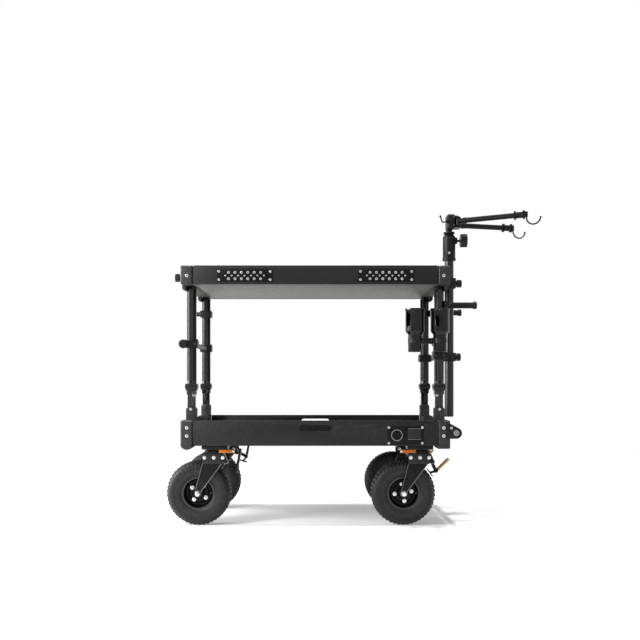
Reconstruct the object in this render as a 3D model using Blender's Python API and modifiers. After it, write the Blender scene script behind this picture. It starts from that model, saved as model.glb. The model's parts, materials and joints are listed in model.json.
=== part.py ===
"""Folding workstation cart for camera and grip gear.

A deep lower tray rolls on four braked casters. Two pairs of folding posts carry a
lift-off top shelf. The right end holds push handles, a pair of mug holders and a
sliding mast whose head carries two gear hooks. Everything is in metres, +Z up, with
the floor at Z = 0 and the origin under the middle of the whole cart.

Pieces are modelled in the deck's own frame: X along the deck, Y from its front to
its rear, and the deck centred on both.
"""

import math

import bmesh
import bpy
from mathutils import Matrix, Vector

# Clearance between pieces that touch
GAP = 0.0003
# How far one solid is sunk into another before the two are joined
SINK = 0.001

# Deck plan
DECK_LENGTH = 1.055
DECK_WIDTH = 0.580
RAIL_WALL = 0.006
RAIL_LEDGE = 0.015
LEDGE_THICKNESS = 0.003
CORNER_LENGTH = 0.050
CORNER_DEPTH = 0.100
CORNER_BEVEL = 0.004
SMALL_BEVEL = 0.003
END_WALL = 0.008
END_LIP = 0.015

# Lower tray
TRAY_RISE = 0.0313
TRAY_HEIGHT = 0.099
TRAY_FLOOR = 0.006
HANDHOLD_LENGTH = 0.130
HANDHOLD_HEIGHT = 0.027
HANDHOLD_DROP = 0.030
NAME_PLATE_LENGTH = 0.142
NAME_PLATE_HEIGHT = 0.073
NAME_PLATE_INSET = 0.1755
NAME_PLATE_RISE = 0.0416
PLATE_PROUD = 0.0015
LEFT_TOE_DROP = 0.016
RIGHT_TOE_DROP = 0.012

# Top shelf
SHELF_HEIGHT = 0.074
BOARD_THICKNESS = 0.012
BOARD_RECESS = 0.0135
SHELF_KNOB_RISE = 0.0333
UNDERSIDE_SHEET = 0.0015
INSERT_PLATE_LENGTH = 0.219
INSERT_PLATE_HEIGHT = 0.049
INSERT_PLATE_INSET = 0.2515
INSERT_PLATE_RISE = 0.034
POST_LOBE_DROP = 0.019
POST_LOBE_ROUNDING = 0.010

# Folding posts
POST_SIDE = 0.037
POST_INSET = 0.035
POST_SPREAD = 0.442
POST_GROOVE_WIDTH = 0.008
POST_GROOVE_DEPTH = 0.005
POST_CHAMFER = 0.002
PIVOT_RISE = 0.043
LEG_LENGTH = 0.4887
POST_CAP_HEIGHT = 0.003
POST_CAP_SIDE = 0.024
KNUCKLE_WIDTH = 0.031
KNUCKLE_THICKNESS = 0.020
KNUCKLE_LENGTH = 0.058
SLEEVE_SIDE = 0.047
SLEEVE_HEIGHT = 0.032
SLEEVE_RISE = 0.074
PIVOT_PIN_RADIUS = 0.005
CLEVIS_WIDTH = 0.041
CLEVIS_RISE = 0.007
CLEVIS_ROUNDING = 0.008

# Bars and clamps on the posts
CLAMP_WALL = 0.0075
CLAMP_HEIGHT = 0.030
BAR_RADIUS = 0.010
HANG_BAR_DROP = 0.0755
HANG_PEG_LENGTH = 0.045
CLAMP_BAR_DROP = 0.231
CROSSBAR_RADIUS = 0.011
HANDLE_DROP = 0.072
SADDLE_WIDTH = 0.026
SADDLE_HEIGHT = 0.030
HANDLE_SPREAD = 0.354
GRIP_RADIUS = 0.0125
GRIP_LENGTH = 0.118
GRIP_CAP_RADIUS = 0.015
GRIP_CAP_LENGTH = 0.010
GRIP_CORE_RADIUS = 0.0085
GRIP_CORE_LENGTH = 0.100
SIDE_KNOB_RADIUS = 0.0165
SIDE_KNOB_LENGTH = 0.017
SIDE_KNOB_INSET = 0.003
CLAMP_EAR_REACH = 0.012
CLAMP_EAR_DEPTH = 0.016
KNOB_STEM_RADIUS = 0.005
KNOB_STEM_LENGTH = 0.0125
KNOB_LOBE_SHARE = 0.14

# Mug holders
MUG_UPPER_RADIUS = 0.036
MUG_LOWER_RADIUS = 0.026
MUG_WALL = 0.003
MUG_LIP = 0.002
MUG_DROP = 0.267
MUG_STEP_RISE = 0.061
MUG_STEP_HEIGHT = 0.019
MUG_HEIGHT = 0.167
MUG_SPACING = 0.096
MUG_OUTER_INSET = 0.0495
MUG_Y = -0.345
MUG_SLOT_WIDTH = 0.022
MUG_SLOT_DEPTH = 0.059
MUG_SLOT_TURNS = {"inner": 53.0, "outer": 17.0}
MUG_ARM_RISE = 0.044
MUG_ARM_HEIGHT = 0.022
MUG_ARM_WIDTH = 0.028
MUG_BAR_OVERHANG = 0.010
MUG_BAR_WALL = 0.015

# Mast
MAST_REACH = 0.041
MAST_RADIUS = 0.019
MAST_BORE_RADIUS = 0.016
MAST_BOTTOM_RISE = 0.0037
MAST_TOP_RISE = 0.1337
MAST_CAP_THICKNESS = 0.010
TOP_BRACKET_RISE = 0.0157
TOP_BRACKET_HEIGHT = 0.042
JAW_WALL = 0.008
JAW_HEIGHT = 0.036
JAW_ROUNDING = 0.005
MAST_BAR_DROP = 0.2755
MAST_BASE_STEM_LENGTH = 0.006
MAST_TOP_STEM_LENGTH = 0.005
MAST_TOP_KNOB_LENGTH = 0.021
SOCKET_RADIUS = 0.0265
SOCKET_FLANGE_RADIUS = 0.0285
SOCKET_FLANGE_HEIGHT = 0.010
SOCKET_HEIGHT = 0.110
SOCKET_BORE_RADIUS = 0.0083
SOCKET_BORE_DEPTH = 0.045
SOCKET_SHOULDER_WIDTH = 0.006
SOCKET_SHOULDER_DROP = 0.010
TEE_BOSS_RADIUS = 0.014
TEE_BOSS_INSET = 0.006
TEE_BOSS_REACH = 0.0355
TEE_KNOB_RISE = 0.085
TEE_KNOB_RADIUS = 0.029
TEE_KNOB_THICKNESS = 0.027
TEE_STEM_LENGTH = 0.012

# Head and hook arms
HEAD_DISC_RADIUS = 0.0245
HEAD_WIDTH = 0.034
HEAD_DEPTH = 0.060
HEAD_RISE = 0.018
HEAD_HEIGHT = 0.066
HEAD_BLOCK_OFFSET = 0.0045
HEAD_BLOCK_RISE = 0.004
HEAD_BLOCK_BEVEL = 0.005
HEAD_NECK_DROP = 0.006
HEAD_NECK_RADIUS = 0.012
HEAD_COLLAR_RADIUS = 0.015
HEAD_DISC_THICKNESS = 0.006
HEAD_FOOT_RADIUS = 0.0155
ARM_PIVOT_REACH = 0.035
ARM_PIVOT_SPREAD = 0.034
ARM_EYE_RADIUS = 0.012
ARM_EYE_HEIGHT = 0.0354
ARM_PIN_RADIUS = 0.004
HEAD_EAR_THICKNESS = 0.005
ARM_RADIUS = 0.011
ARM_MID_RISE = 0.032
ARM_Z_STEP = 0.006
ARM_LENGTHS = {"front": 0.281, "rear": 0.257}
ARM_YAWS = {"front": -28.7, "rear": 15.0}
ARM_FLANGE_RADIUS = 0.019
ARM_FLANGE_THICKNESS = 0.0035
ARM_FLANGE_SPACING = 0.036
ARM_COLLAR_RADIUS = 0.013
HOOK_RADIUS = 0.0285
HOOK_WIRE_RADIUS = 0.00325
HOOK_REACH = 0.038
HOOK_RISE = 0.013
HOOK_ROOT_RISE = 0.014
HOOK_NECK_REACH = 0.004
HOOK_NECK_RISE = 0.006

# Casters
LEFT_CASTER_INSET = 0.1305
RIGHT_CASTER_INSET = 0.1135
CASTER_TRAIL = 0.0655
WHEEL_RADIUS = 0.127
WHEEL_FACETS = 24
TYRE_HALF_WIDTH = 0.040
# The tyre's side as shares of its depth from the rim and of its half width
TYRE_SIDE = ((0.30, 0.95), (0.65, 1.0), (0.88, 0.82), (1.0, 0.36))
RIM_RADIUS = 0.0605
RIM_HALF_WIDTH = 0.028
RIM_LIP_RADIUS = 0.0655
RIM_LIP_THICKNESS = 0.003
RIM_WALL = 0.005
RIM_DRAFT = 0.001
RIM_DISC_HALF = 0.004
HUB_RADIUS = 0.020
HUB_HALF_WIDTH = 0.034
AXLE_RADIUS = 0.008
AXLE_SPACER_RADIUS = 0.012
AXLE_NUT_RADIUS = 0.012
AXLE_NUT_HEIGHT = 0.010
FORK_INNER_HALF = 0.043
FORK_PLATE = 0.005
FORK_FRONT = 0.036
FORK_BACK = -0.050
FORK_CLEARANCE = 0.0317
FORK_CROWN = 0.011
FORK_BOSS_RADIUS = 0.014
FORK_REAR_WAIST = (-0.010, 0.016)
FORK_FRONT_WAIST = (0.0154, 0.010)
FORK_EDGE_DRAFT = 0.003
FORK_FRONT_LIP = 0.006
PLATE_HALF_LENGTH = 0.050
PLATE_HALF_WIDTH = 0.055
PLATE_THICKNESS = 0.0155
PLATE_CORNER = 0.008
RACE_RADIUS = 0.038

# Brake levers
BRAKE_PIVOT_X = 0.048
BRAKE_PIVOT_DROP = 0.0332
BRAKE_PIN_RADIUS = 0.004
BRAKE_BARREL_RADIUS = 0.008
BRAKE_EAR_RADIUS = 0.009
BRAKE_ELBOW_RADIUS = 0.006
BRAKE_LINK_WIDTH = 0.0144
BRAKE_ARM_THICKNESS = 0.008
BRAKE_ARM_WIDTH = 0.024
BRAKE_ELBOW = (0.0185, -0.0410)
BRAKE_PEDAL_TIP = (0.0690, 0.0080)
BRAKE_PEDAL_WIDTH = 0.034
BRAKE_PEDAL_THICKNESS = 0.006
BRAKE_SHOE_GAP = 0.005
BRAKE_SHOE_LENGTH = 0.035
BRAKE_SHOE_WIDTH = 0.040
BRAKE_SHOE_THICKNESS = 0.003
BRAKE_SHOE_ANGLE = 36.0
BRAKE_LIFT = 36.0

# Swivel locks
LOCK_NEAR = 0.018
LOCK_LENGTH = 0.061
LOCK_OVERHANG = 0.004
LOCK_DEPTH = 0.011
LOCK_RISE = 0.0023
LOCK_HEIGHT = 0.0127
LOCK_OFFSET_Y = 0.048
LOCK_PIVOT_INSET = 0.011
LOCK_PIN_RADIUS = 0.003

# Lifting bar
LIFT_BAR_REACH = 0.0225
LIFT_BAR_RISE = 0.050
LIFT_BAR_RADIUS = 0.012
LIFT_EAR_RADIUS = 0.022
LIFT_EAR_THICKNESS = 0.006
LIFT_EAR_OVERLAP = 0.014

# Derived places
HALF_LENGTH = DECK_LENGTH / 2
HALF_WIDTH = DECK_WIDTH / 2
CORNER_X = HALF_LENGTH - CORNER_LENGTH
CORNER_Y = HALF_WIDTH - CORNER_DEPTH
RAIL_END_X = CORNER_X - GAP
RAIL_INNER_Y = HALF_WIDTH - RAIL_WALL
FORK_TOP_Z = 2 * WHEEL_RADIUS + FORK_CLEARANCE
BRAKE_PIVOT_Z = FORK_TOP_Z - BRAKE_PIVOT_DROP
LOCK_BOTTOM_Z = FORK_TOP_Z + LOCK_RISE
TRAY_BOTTOM = FORK_TOP_Z + TRAY_RISE
LIFT_BAR_Z = TRAY_BOTTOM + LIFT_BAR_RISE
TRAY_TOP = TRAY_BOTTOM + TRAY_HEIGHT
PIVOT_X = HALF_LENGTH - POST_INSET
PIVOT_Z = TRAY_TOP + PIVOT_RISE
POST_Y = POST_SPREAD / 2
SHELF_BOTTOM = PIVOT_Z + LEG_LENGTH + GAP
SHELF_TOP = SHELF_BOTTOM + SHELF_HEIGHT
BOARD_TOP = SHELF_TOP - BOARD_RECESS
BOARD_BOTTOM = BOARD_TOP - BOARD_THICKNESS
CLAMP_HALF = POST_SIDE / 2 + CLAMP_WALL
CROSSBAR_X = PIVOT_X + POST_SIDE / 2 + CROSSBAR_RADIUS
NAME_PLATE_X = HALF_LENGTH - NAME_PLATE_INSET
INSERT_PLATE_X = HALF_LENGTH - INSERT_PLATE_INSET
HANG_BAR_Z = SHELF_BOTTOM - HANG_BAR_DROP
CLAMP_BAR_Z = SHELF_BOTTOM - CLAMP_BAR_DROP
HANDLE_Z = SHELF_BOTTOM - HANDLE_DROP
MUG_BOTTOM_Z = SHELF_BOTTOM - MUG_DROP
MUG_OUTER_X = HALF_LENGTH - MUG_OUTER_INSET
MUG_ARM_Z = MUG_BOTTOM_Z + MUG_ARM_RISE
MAST_X = HALF_LENGTH + MAST_REACH
MAST_BOTTOM_Z = TRAY_TOP + MAST_BOTTOM_RISE
MAST_TOP_Z = SHELF_BOTTOM + MAST_TOP_RISE
MAST_BAR_Z = SHELF_BOTTOM - MAST_BAR_DROP
LIFT_BAR_X = HALF_LENGTH + LIFT_BAR_REACH
SWIVEL_LEFT_X = LEFT_CASTER_INSET - HALF_LENGTH
SWIVEL_RIGHT_X = HALF_LENGTH - RIGHT_CASTER_INSET
MAST_BORE = MAST_RADIUS + GAP
SOCKET_TOP_Z = MAST_TOP_Z + SOCKET_HEIGHT
HEAD_Z = SOCKET_TOP_Z + HEAD_RISE
ARM_MID_Z = HEAD_Z + ARM_MID_RISE
CASTER_TOP_Z = TRAY_BOTTOM - GAP
PLATE_BOTTOM_Z = CASTER_TOP_Z - PLATE_THICKNESS
RACE_BOTTOM_Z = FORK_TOP_Z + GAP
LOCK_TOP_Z = LOCK_BOTTOM_Z + LOCK_HEIGHT


# Mesh tools

def clear_scene():
    """Remove every object and the data that they leave behind."""
    for obj in list(bpy.data.objects):
        bpy.data.objects.remove(obj, do_unlink=True)
    for mesh in list(bpy.data.meshes):
        bpy.data.meshes.remove(mesh)


def new_object(name, mesh):
    """Wrap a mesh in an object of the cart's collection."""
    obj = bpy.data.objects.new(name, mesh)
    PARTS.objects.link(obj)
    return obj


def object_from_bmesh(name, shape):
    """Turn a bmesh into an object whose faces point outwards."""
    bmesh.ops.recalc_face_normals(shape, faces=shape.faces)
    mesh = bpy.data.meshes.new(name)
    shape.to_mesh(mesh)
    shape.free()
    return new_object(name, mesh)


def baked_mesh(obj):
    """Return the object's evaluated mesh as a new mesh."""
    bpy.context.view_layer.update()
    graph = bpy.context.evaluated_depsgraph_get()
    return bpy.data.meshes.new_from_object(obj.evaluated_get(graph))


def bake(obj):
    """Apply all of an object's modifiers."""
    mesh = baked_mesh(obj)
    obj.modifiers.clear()
    obj.data = mesh


def weld(obj):
    """Merge doubled corners and point the faces outwards."""
    shape = bmesh.new()
    shape.from_mesh(obj.data)
    bmesh.ops.remove_doubles(shape, verts=shape.verts, dist=0.00001)
    bmesh.ops.recalc_face_normals(shape, faces=shape.faces)
    shape.to_mesh(obj.data)
    shape.free()


def move(obj, matrix):
    """Move an object's mesh."""
    obj.data.transform(matrix)
    return obj


def combine(base, tools, operation, solver="EXACT"):
    """Join tools to a solid or cut them from it, and remove the tools."""
    for tool in tools:
        modifier = base.modifiers.new(operation.title(), "BOOLEAN")
        modifier.operation = operation
        modifier.solver = solver
        modifier.object = tool
    bake(base)
    for tool in tools:
        bpy.data.objects.remove(tool, do_unlink=True)
    return base


def join(base, *tools):
    """Join solids into one body."""
    return combine(base, tools, "UNION")


def cut(base, *tools):
    """Cut solids out of another."""
    return combine(base, tools, "DIFFERENCE")


def box(name, low, high, bevel=0.0, segments=2, along=None):
    """Make a box, its edges rounded, or only the edges that run along one axis."""
    low = Vector(low)
    high = Vector(high)
    shape = bmesh.new()
    bmesh.ops.create_cube(shape, size=1.0)
    bmesh.ops.scale(shape, vec=high - low, verts=shape.verts)
    bmesh.ops.translate(shape, vec=(low + high) / 2, verts=shape.verts)
    if bevel:
        edges = list(shape.edges)
        if along is not None:
            edges = [
                edge for edge in edges
                if abs((edge.verts[0].co - edge.verts[1].co)["XYZ".index(along)]) > 0.00001
            ]
        bmesh.ops.bevel(
            shape, geom=edges, offset=bevel, segments=segments, affect="EDGES", profile=0.5
        )
    return object_from_bmesh(name, shape)


def rod(name, start, end, radius, sides=24, end_radius=None):
    """Make a round bar or a cone from one point to another."""
    start = Vector(start)
    end = Vector(end)
    run = end - start
    shape = bmesh.new()
    bmesh.ops.create_cone(
        shape, cap_ends=True, segments=sides, radius1=radius,
        radius2=radius if end_radius is None else end_radius, depth=run.length,
    )
    turn = run.to_track_quat("Z", "Y").to_matrix().to_4x4()
    bmesh.ops.transform(shape, matrix=Matrix.Translation((start + end) / 2) @ turn, verts=shape.verts)
    return object_from_bmesh(name, shape)


# Each direction of extrusion, with the two axes that its outline is drawn in
EXTRUSIONS = {
    "X": Matrix(((0, 0, 1, 0), (1, 0, 0, 0), (0, 1, 0, 0), (0, 0, 0, 1))),
    "Y": Matrix(((1, 0, 0, 0), (0, 0, -1, 0), (0, 1, 0, 0), (0, 0, 0, 1))),
    "Z": Matrix.Identity(4),
}


def prism(name, outline, along, start, end):
    """Extrude a closed outline: (Y, Z) along X, (X, Z) along Y or (X, Y) along Z."""
    curve = bpy.data.curves.new(name, "CURVE")
    curve.dimensions = "2D"
    curve.fill_mode = "BOTH"
    curve.extrude = abs(end - start) / 2
    spline = curve.splines.new("POLY")
    spline.points.add(len(outline) - 1)
    for point, (across, up) in zip(spline.points, outline):
        point.co = (across, up, 0, 1)
    spline.use_cyclic_u = True
    guide = new_object(name + "_outline", curve)
    obj = new_object(name, baked_mesh(guide))
    bpy.data.objects.remove(guide, do_unlink=True)
    weld(obj)
    shape = bmesh.new()
    shape.from_mesh(obj.data)
    bmesh.ops.dissolve_limit(shape, angle_limit=0.001, verts=shape.verts, edges=shape.edges)
    shape.to_mesh(obj.data)
    shape.free()
    middle = Vector((0, 0, 0))
    middle["XYZ".index(along)] = (start + end) / 2
    return move(obj, Matrix.Translation(middle) @ EXTRUSIONS[along])


def turned(name, profile, steps, along, centre, closed=False, turn=0.0):
    """Turn a profile of (radius, height) points about an axis through a centre."""
    mesh = bpy.data.meshes.new(name)
    edges = [(index, index + 1) for index in range(len(profile) - 1)]
    if closed:
        edges.append((len(profile) - 1, 0))
    mesh.from_pydata([(radius, 0, height) for radius, height in profile], edges, [])
    obj = new_object(name, mesh)
    screw = obj.modifiers.new("Turn", "SCREW")
    screw.steps = steps
    screw.render_steps = steps
    screw.use_merge_vertices = True
    screw.merge_threshold = 0.00001
    bake(obj)
    tilt = {"X": Matrix.Rotation(math.pi / 2, 4, "Y"), "Y": Matrix.Rotation(-math.pi / 2, 4, "X")}
    spin = Matrix.Rotation(turn, 4, "Z")
    move(obj, Matrix.Translation(centre) @ tilt.get(along, Matrix.Identity(4)) @ spin)
    weld(obj)
    return obj


def wire(name, points, radius, resolution=2):
    """Make a bent round bar through points."""
    curve = bpy.data.curves.new(name, "CURVE")
    curve.dimensions = "3D"
    curve.bevel_depth = radius
    curve.bevel_resolution = resolution
    curve.use_fill_caps = True
    spline = curve.splines.new("POLY")
    spline.points.add(len(points) - 1)
    for point, place in zip(spline.points, points):
        point.co = (*place, 1)
    guide = new_object(name + "_path", curve)
    obj = new_object(name, baked_mesh(guide))
    bpy.data.objects.remove(guide, do_unlink=True)
    weld(obj)
    return obj


def arc(centre, radius, start, end, count):
    """Return points along an arc, its angles in degrees."""
    points = []
    for index in range(count):
        angle = math.radians(start + (end - start) * index / (count - 1))
        points.append((centre[0] + radius * math.cos(angle), centre[1] + radius * math.sin(angle)))
    return points


def lobed_outline(radius, lobes, depth, points_per_lobe=4):
    """Return the outline of a hand knob with finger lobes."""
    count = lobes * points_per_lobe
    outline = []
    for index in range(count):
        angle = 2 * math.pi * index / count
        reach = radius - depth / 2 + depth / 2 * math.cos(lobes * angle)
        outline.append((reach * math.cos(angle), reach * math.sin(angle)))
    return outline


def knob(name, centre, radius, length, stem_length, towards, lobes=8):
    """Make a lobed knob on a stem along X, its stem ending at the centre given."""
    x, y, z = centre
    outline = [(y + across, z + up) for across, up in lobed_outline(radius, lobes, radius * KNOB_LOBE_SHARE)]
    near = x + towards * stem_length
    far = near + towards * length
    head = prism(name, outline, "X", min(near, far), max(near, far))
    stem = rod(name + "_stem", (x, y, z), (near + towards * length / 2, y, z), KNOB_STEM_RADIUS, 12)
    return join(head, stem)


# Placing pieces on the joints

def finish_material(name, colour, roughness, metallic):
    """Make a plain material."""
    material = bpy.data.materials.new(name)
    material.use_nodes = True
    shader = material.node_tree.nodes["Principled BSDF"]
    shader.inputs["Base Color"].default_value = (*colour, 1.0)
    shader.inputs["Roughness"].default_value = roughness
    shader.inputs["Metallic"].default_value = metallic
    return material


def pivot(name, place, parent=None, tilt=0.0):
    """Add an empty on a joint's axis, tilted about Y where its piece rests at an angle."""
    empty = bpy.data.objects.new(name, None)
    PARTS.objects.link(empty)
    empty.location = Vector(place)
    empty.rotation_euler = (0, math.radians(tilt), 0)
    if parent is not None:
        empty.parent = parent
        empty.matrix_parent_inverse = Matrix.Translation(-PLACES[parent.name])
    PLACES[name] = Vector(place)
    return empty


def mount(obj, joint, material, local=False):
    """Hang a piece on a joint's empty. A local piece is modelled about the joint."""
    obj.parent = joint
    if not local:
        obj.matrix_parent_inverse = Matrix.Translation(-PLACES[joint.name])
    obj.data.materials.clear()
    obj.data.materials.append(material)
    obj.data.shade_smooth()
    obj.data.set_sharp_from_angle(angle=math.radians(35))
    return obj


def share(obj, name):
    """Return a second object that shares a piece's mesh."""
    return new_object(name, obj.data)


# Lower tray

def rail(name, side, bottom, height, ledges):
    """Make a long side rail: an upright wall with an inner ledge at each height given."""
    outer = side * HALF_WIDTH
    inner = side * RAIL_INNER_Y
    body = box(
        name, (-RAIL_END_X, min(outer, inner), bottom), (RAIL_END_X, max(outer, inner), bottom + height)
    )
    strips = []
    for index, (low, high) in enumerate(ledges):
        edge = side * (RAIL_INNER_Y - RAIL_LEDGE)
        root = side * (RAIL_INNER_Y + SINK)
        strips.append(box(
            f"{name}_ledge_{index}",
            (-RAIL_END_X, min(edge, root), low), (RAIL_END_X, max(edge, root), high),
        ))
    return join(body, *strips)


def face_plate(name, x, z, length, height, side):
    """Make a thin plate that stands proud of a rail's outer face."""
    outer = side * (HALF_WIDTH + PLATE_PROUD)
    inner = side * (HALF_WIDTH - SINK)
    return box(
        name, (x - length / 2, min(outer, inner), z - height / 2),
        (x + length / 2, max(outer, inner), z + height / 2),
    )


def tray_rails(joint, material):
    """Make the tray's two long sides, each with a hand slot. The front one has a bare plate."""
    ledge = [(TRAY_BOTTOM, TRAY_BOTTOM + LEDGE_THICKNESS)]
    slot_z = TRAY_TOP - HANDHOLD_DROP
    half = HANDHOLD_HEIGHT / 2
    straight = HANDHOLD_LENGTH / 2 - half
    slot = arc((straight, slot_z), half, -90, 90, 7) + arc((-straight, slot_z), half, 90, 270, 7)
    for name, side in (("tray_rail_front", -1), ("tray_rail_rear", 1)):
        body = rail(name, side, TRAY_BOTTOM, TRAY_HEIGHT, ledge)
        if side < 0:
            plate_z = TRAY_BOTTOM + NAME_PLATE_RISE
            plate = face_plate(
                "name_plate", NAME_PLATE_X, plate_z, NAME_PLATE_LENGTH, NAME_PLATE_HEIGHT, side
            )
            join(body, plate)
        reach = side * HALF_WIDTH
        cutter = prism("slot", slot, "Y", reach - 2 * RAIL_WALL, reach + 2 * RAIL_WALL)
        cut(body, cutter)
        mount(body, joint, material)


def tray_floor(joint, material):
    """Make the tray's floor panel, which lies on the rails' ledges."""
    low = TRAY_BOTTOM + LEDGE_THICKNESS + GAP
    width = RAIL_INNER_Y - GAP
    length = RAIL_END_X
    mount(box("tray_floor", (-length, -width, low), (length, width, low + TRAY_FLOOR)), joint, material)


def clevis(name, side_x, side_y):
    """Make the ears and pin that a folding post turns on."""
    x = side_x * PIVOT_X
    y = side_y * POST_Y
    half = CLEVIS_WIDTH / 2
    top = PIVOT_Z + CLEVIS_RISE
    round_off = CLEVIS_ROUNDING
    outline = [(x - half, TRAY_TOP - 2 * SINK), (x + half, TRAY_TOP - 2 * SINK)]
    outline += arc((x + half - round_off, top - round_off), round_off, 0, 90, 3)
    outline += arc((x - half + round_off, top - round_off), round_off, 90, 180, 3)
    ears = prism(name, outline, "Y", y - POST_SIDE / 2, y + POST_SIDE / 2)
    slot_half = KNUCKLE_THICKNESS / 2 + GAP
    slot_floor = PIVOT_Z - KNUCKLE_WIDTH / 2 - SINK
    slot = box(
        name + "_slot", (x - CLEVIS_WIDTH, y - slot_half, slot_floor),
        (x + CLEVIS_WIDTH, y + slot_half, top + SINK),
    )
    cut(ears, slot)
    pin_half = POST_SIDE / 2 + SINK
    pin = rod(name + "_pin", (x, y - pin_half, PIVOT_Z), (x, y + pin_half, PIVOT_Z), PIVOT_PIN_RADIUS, 12)
    return join(ears, pin)


def end_beam(name, side, bottom, top, lip_low, lip_high, flange_low, flange_high):
    """Make the beam between an end's corners: a wall, a flange and a lip under the panel."""
    outer = side * HALF_LENGTH
    half = CORNER_Y + SINK
    inner = side * (HALF_LENGTH - END_WALL)
    wall = box(name, (min(outer, inner), -half, bottom), (max(outer, inner), half, top))
    root = side * (HALF_LENGTH - SINK)
    edge = side * CORNER_X
    flange = box(
        name + "_flange", (min(root, edge), -half, flange_low), (max(root, edge), half, flange_high)
    )
    lip_edge = side * (CORNER_X - END_LIP)
    lip = box(
        name + "_lip", (min(root, lip_edge), -half, lip_low), (max(root, lip_edge), half, lip_high)
    )
    return join(wall, flange, lip)


def corner_block(name, side_x, side_y, bottom, top):
    """Make one corner of an end casting."""
    outer_x = side_x * HALF_LENGTH
    inner_x = side_x * CORNER_X
    outer_y = side_y * HALF_WIDTH
    inner_y = side_y * CORNER_Y
    return box(
        name, (min(outer_x, inner_x), min(outer_y, inner_y), bottom),
        (max(outer_x, inner_x), max(outer_y, inner_y), top), CORNER_BEVEL, 1,
    )


def tray_toe(name, side_x, side_y):
    """Make the foot under a lower corner: a shallow round toe on the left, a square one on the right."""
    outer_y = side_y * HALF_WIDTH
    inner_y = side_y * CORNER_Y
    x = side_x * (HALF_LENGTH - CORNER_LENGTH / 2)
    low = min(outer_y, inner_y) + SINK / 2
    high = max(outer_y, inner_y) - SINK / 2
    top = TRAY_BOTTOM + CORNER_BEVEL + SINK
    chord = CORNER_LENGTH / 2 - SINK / 2
    if side_x > 0:
        foot = TRAY_BOTTOM - RIGHT_TOE_DROP
        return box(name, (x - chord, low, foot), (x + chord, high, top), SMALL_BEVEL, 1)
    drop = LEFT_TOE_DROP
    radius = (chord ** 2 + drop ** 2) / (2 * drop)
    spread = math.degrees(math.asin(chord / radius))
    outline = arc((x, TRAY_BOTTOM - drop + radius), radius, 270 - spread, 270 + spread, 7)
    outline += [(x + chord, top), (x - chord, top)]
    return prism(name, outline, "Y", low, high)


def tray_ends(joint, material):
    """Make the tray's two end castings with their corners, toes and clevises."""
    for name, side_x in (("tray_end_left", -1), ("tray_end_right", 1)):
        flange_top = TRAY_BOTTOM + LEDGE_THICKNESS
        beam = end_beam(
            name, side_x, TRAY_BOTTOM, TRAY_TOP - CORNER_BEVEL,
            TRAY_BOTTOM, flange_top, TRAY_BOTTOM, flange_top + GAP + TRAY_FLOOR,
        )
        pieces = []
        for side_y in (-1, 1):
            tag = f"{name}_{side_y}"
            pieces.append(corner_block(tag, side_x, side_y, TRAY_BOTTOM, TRAY_TOP))
            pieces.append(tray_toe(tag + "_toe", side_x, side_y))
            pieces.append(clevis(tag + "_clevis", side_x, side_y))
        mount(join(beam, *pieces), joint, material)


def lift_bar(joint, material):
    """Make the lifting bar: a cross tube between two ears on the right-hand corners."""
    end = HALF_WIDTH + GAP + LIFT_EAR_THICKNESS
    reach = end - SINK
    bar = rod(
        "lift_bar", (LIFT_BAR_X, -reach, LIFT_BAR_Z), (LIFT_BAR_X, reach, LIFT_BAR_Z), LIFT_BAR_RADIUS
    )
    root = HALF_LENGTH - LIFT_EAR_OVERLAP
    outline = [(root, LIFT_BAR_Z - LIFT_EAR_RADIUS)]
    outline += arc((LIFT_BAR_X, LIFT_BAR_Z), LIFT_EAR_RADIUS, -90, 50, 10)
    outline.append((root, LIFT_BAR_Z + 2 * LIFT_EAR_RADIUS))
    ears = []
    for side in (-1, 1):
        near = side * (HALF_WIDTH + GAP)
        far = side * end
        ears.append(prism(f"lift_ear_{side}", outline, "Y", min(near, far), max(near, far)))
    mount(join(bar, *ears), joint, material)


# Folding posts

def post_outline(x, y):
    """Return the section of a post, with a groove down each face."""
    half = POST_SIDE / 2
    edge = half - POST_CHAMFER
    slot = POST_GROOVE_WIDTH / 2
    floor = half - POST_GROOVE_DEPTH
    side = [
        (half, -edge), (half, -slot), (floor, -slot), (floor, slot), (half, slot), (half, edge),
    ]
    outline = []
    for quarter in range(4):
        angle = quarter * math.pi / 2
        for across, up in side:
            outline.append((
                x + across * math.cos(angle) - up * math.sin(angle),
                y + across * math.sin(angle) + up * math.cos(angle),
            ))
    return outline


def post(name, side_x, side_y):
    """Make a folding post: knuckle, lock sleeve, grooved tube and top cap."""
    x = side_x * PIVOT_X
    y = side_y * POST_Y
    tube_low = PIVOT_Z + KNUCKLE_LENGTH
    tube_high = PIVOT_Z + LEG_LENGTH - POST_CAP_HEIGHT
    tube = prism(name, post_outline(x, y), "Z", tube_low, tube_high)
    cap_half = POST_CAP_SIDE / 2
    cap = box(
        name + "_cap", (x - cap_half, y - cap_half, tube_high - SINK),
        (x + cap_half, y + cap_half, PIVOT_Z + LEG_LENGTH),
    )
    half = KNUCKLE_WIDTH / 2
    outline = arc((x, PIVOT_Z), half, 180, 360, 11)
    outline += [(x + half, tube_low + SINK), (x - half, tube_low + SINK)]
    knuckle = prism(name + "_knuckle", outline, "Y", y - KNUCKLE_THICKNESS / 2, y + KNUCKLE_THICKNESS / 2)
    sleeve_half = SLEEVE_SIDE / 2
    sleeve_low = PIVOT_Z + SLEEVE_RISE
    sleeve = box(
        name + "_sleeve", (x - sleeve_half, y - sleeve_half, sleeve_low),
        (x + sleeve_half, y + sleeve_half, sleeve_low + SLEEVE_HEIGHT), SMALL_BEVEL, 1,
    )
    combine(tube, [cap, knuckle, sleeve], "UNION", "MANIFOLD")
    bore = rod(
        name + "_bore", (x, y - POST_SIDE, PIVOT_Z), (x, y + POST_SIDE, PIVOT_Z), PIVOT_PIN_RADIUS + GAP, 16
    )
    return cut(tube, bore)


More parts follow.
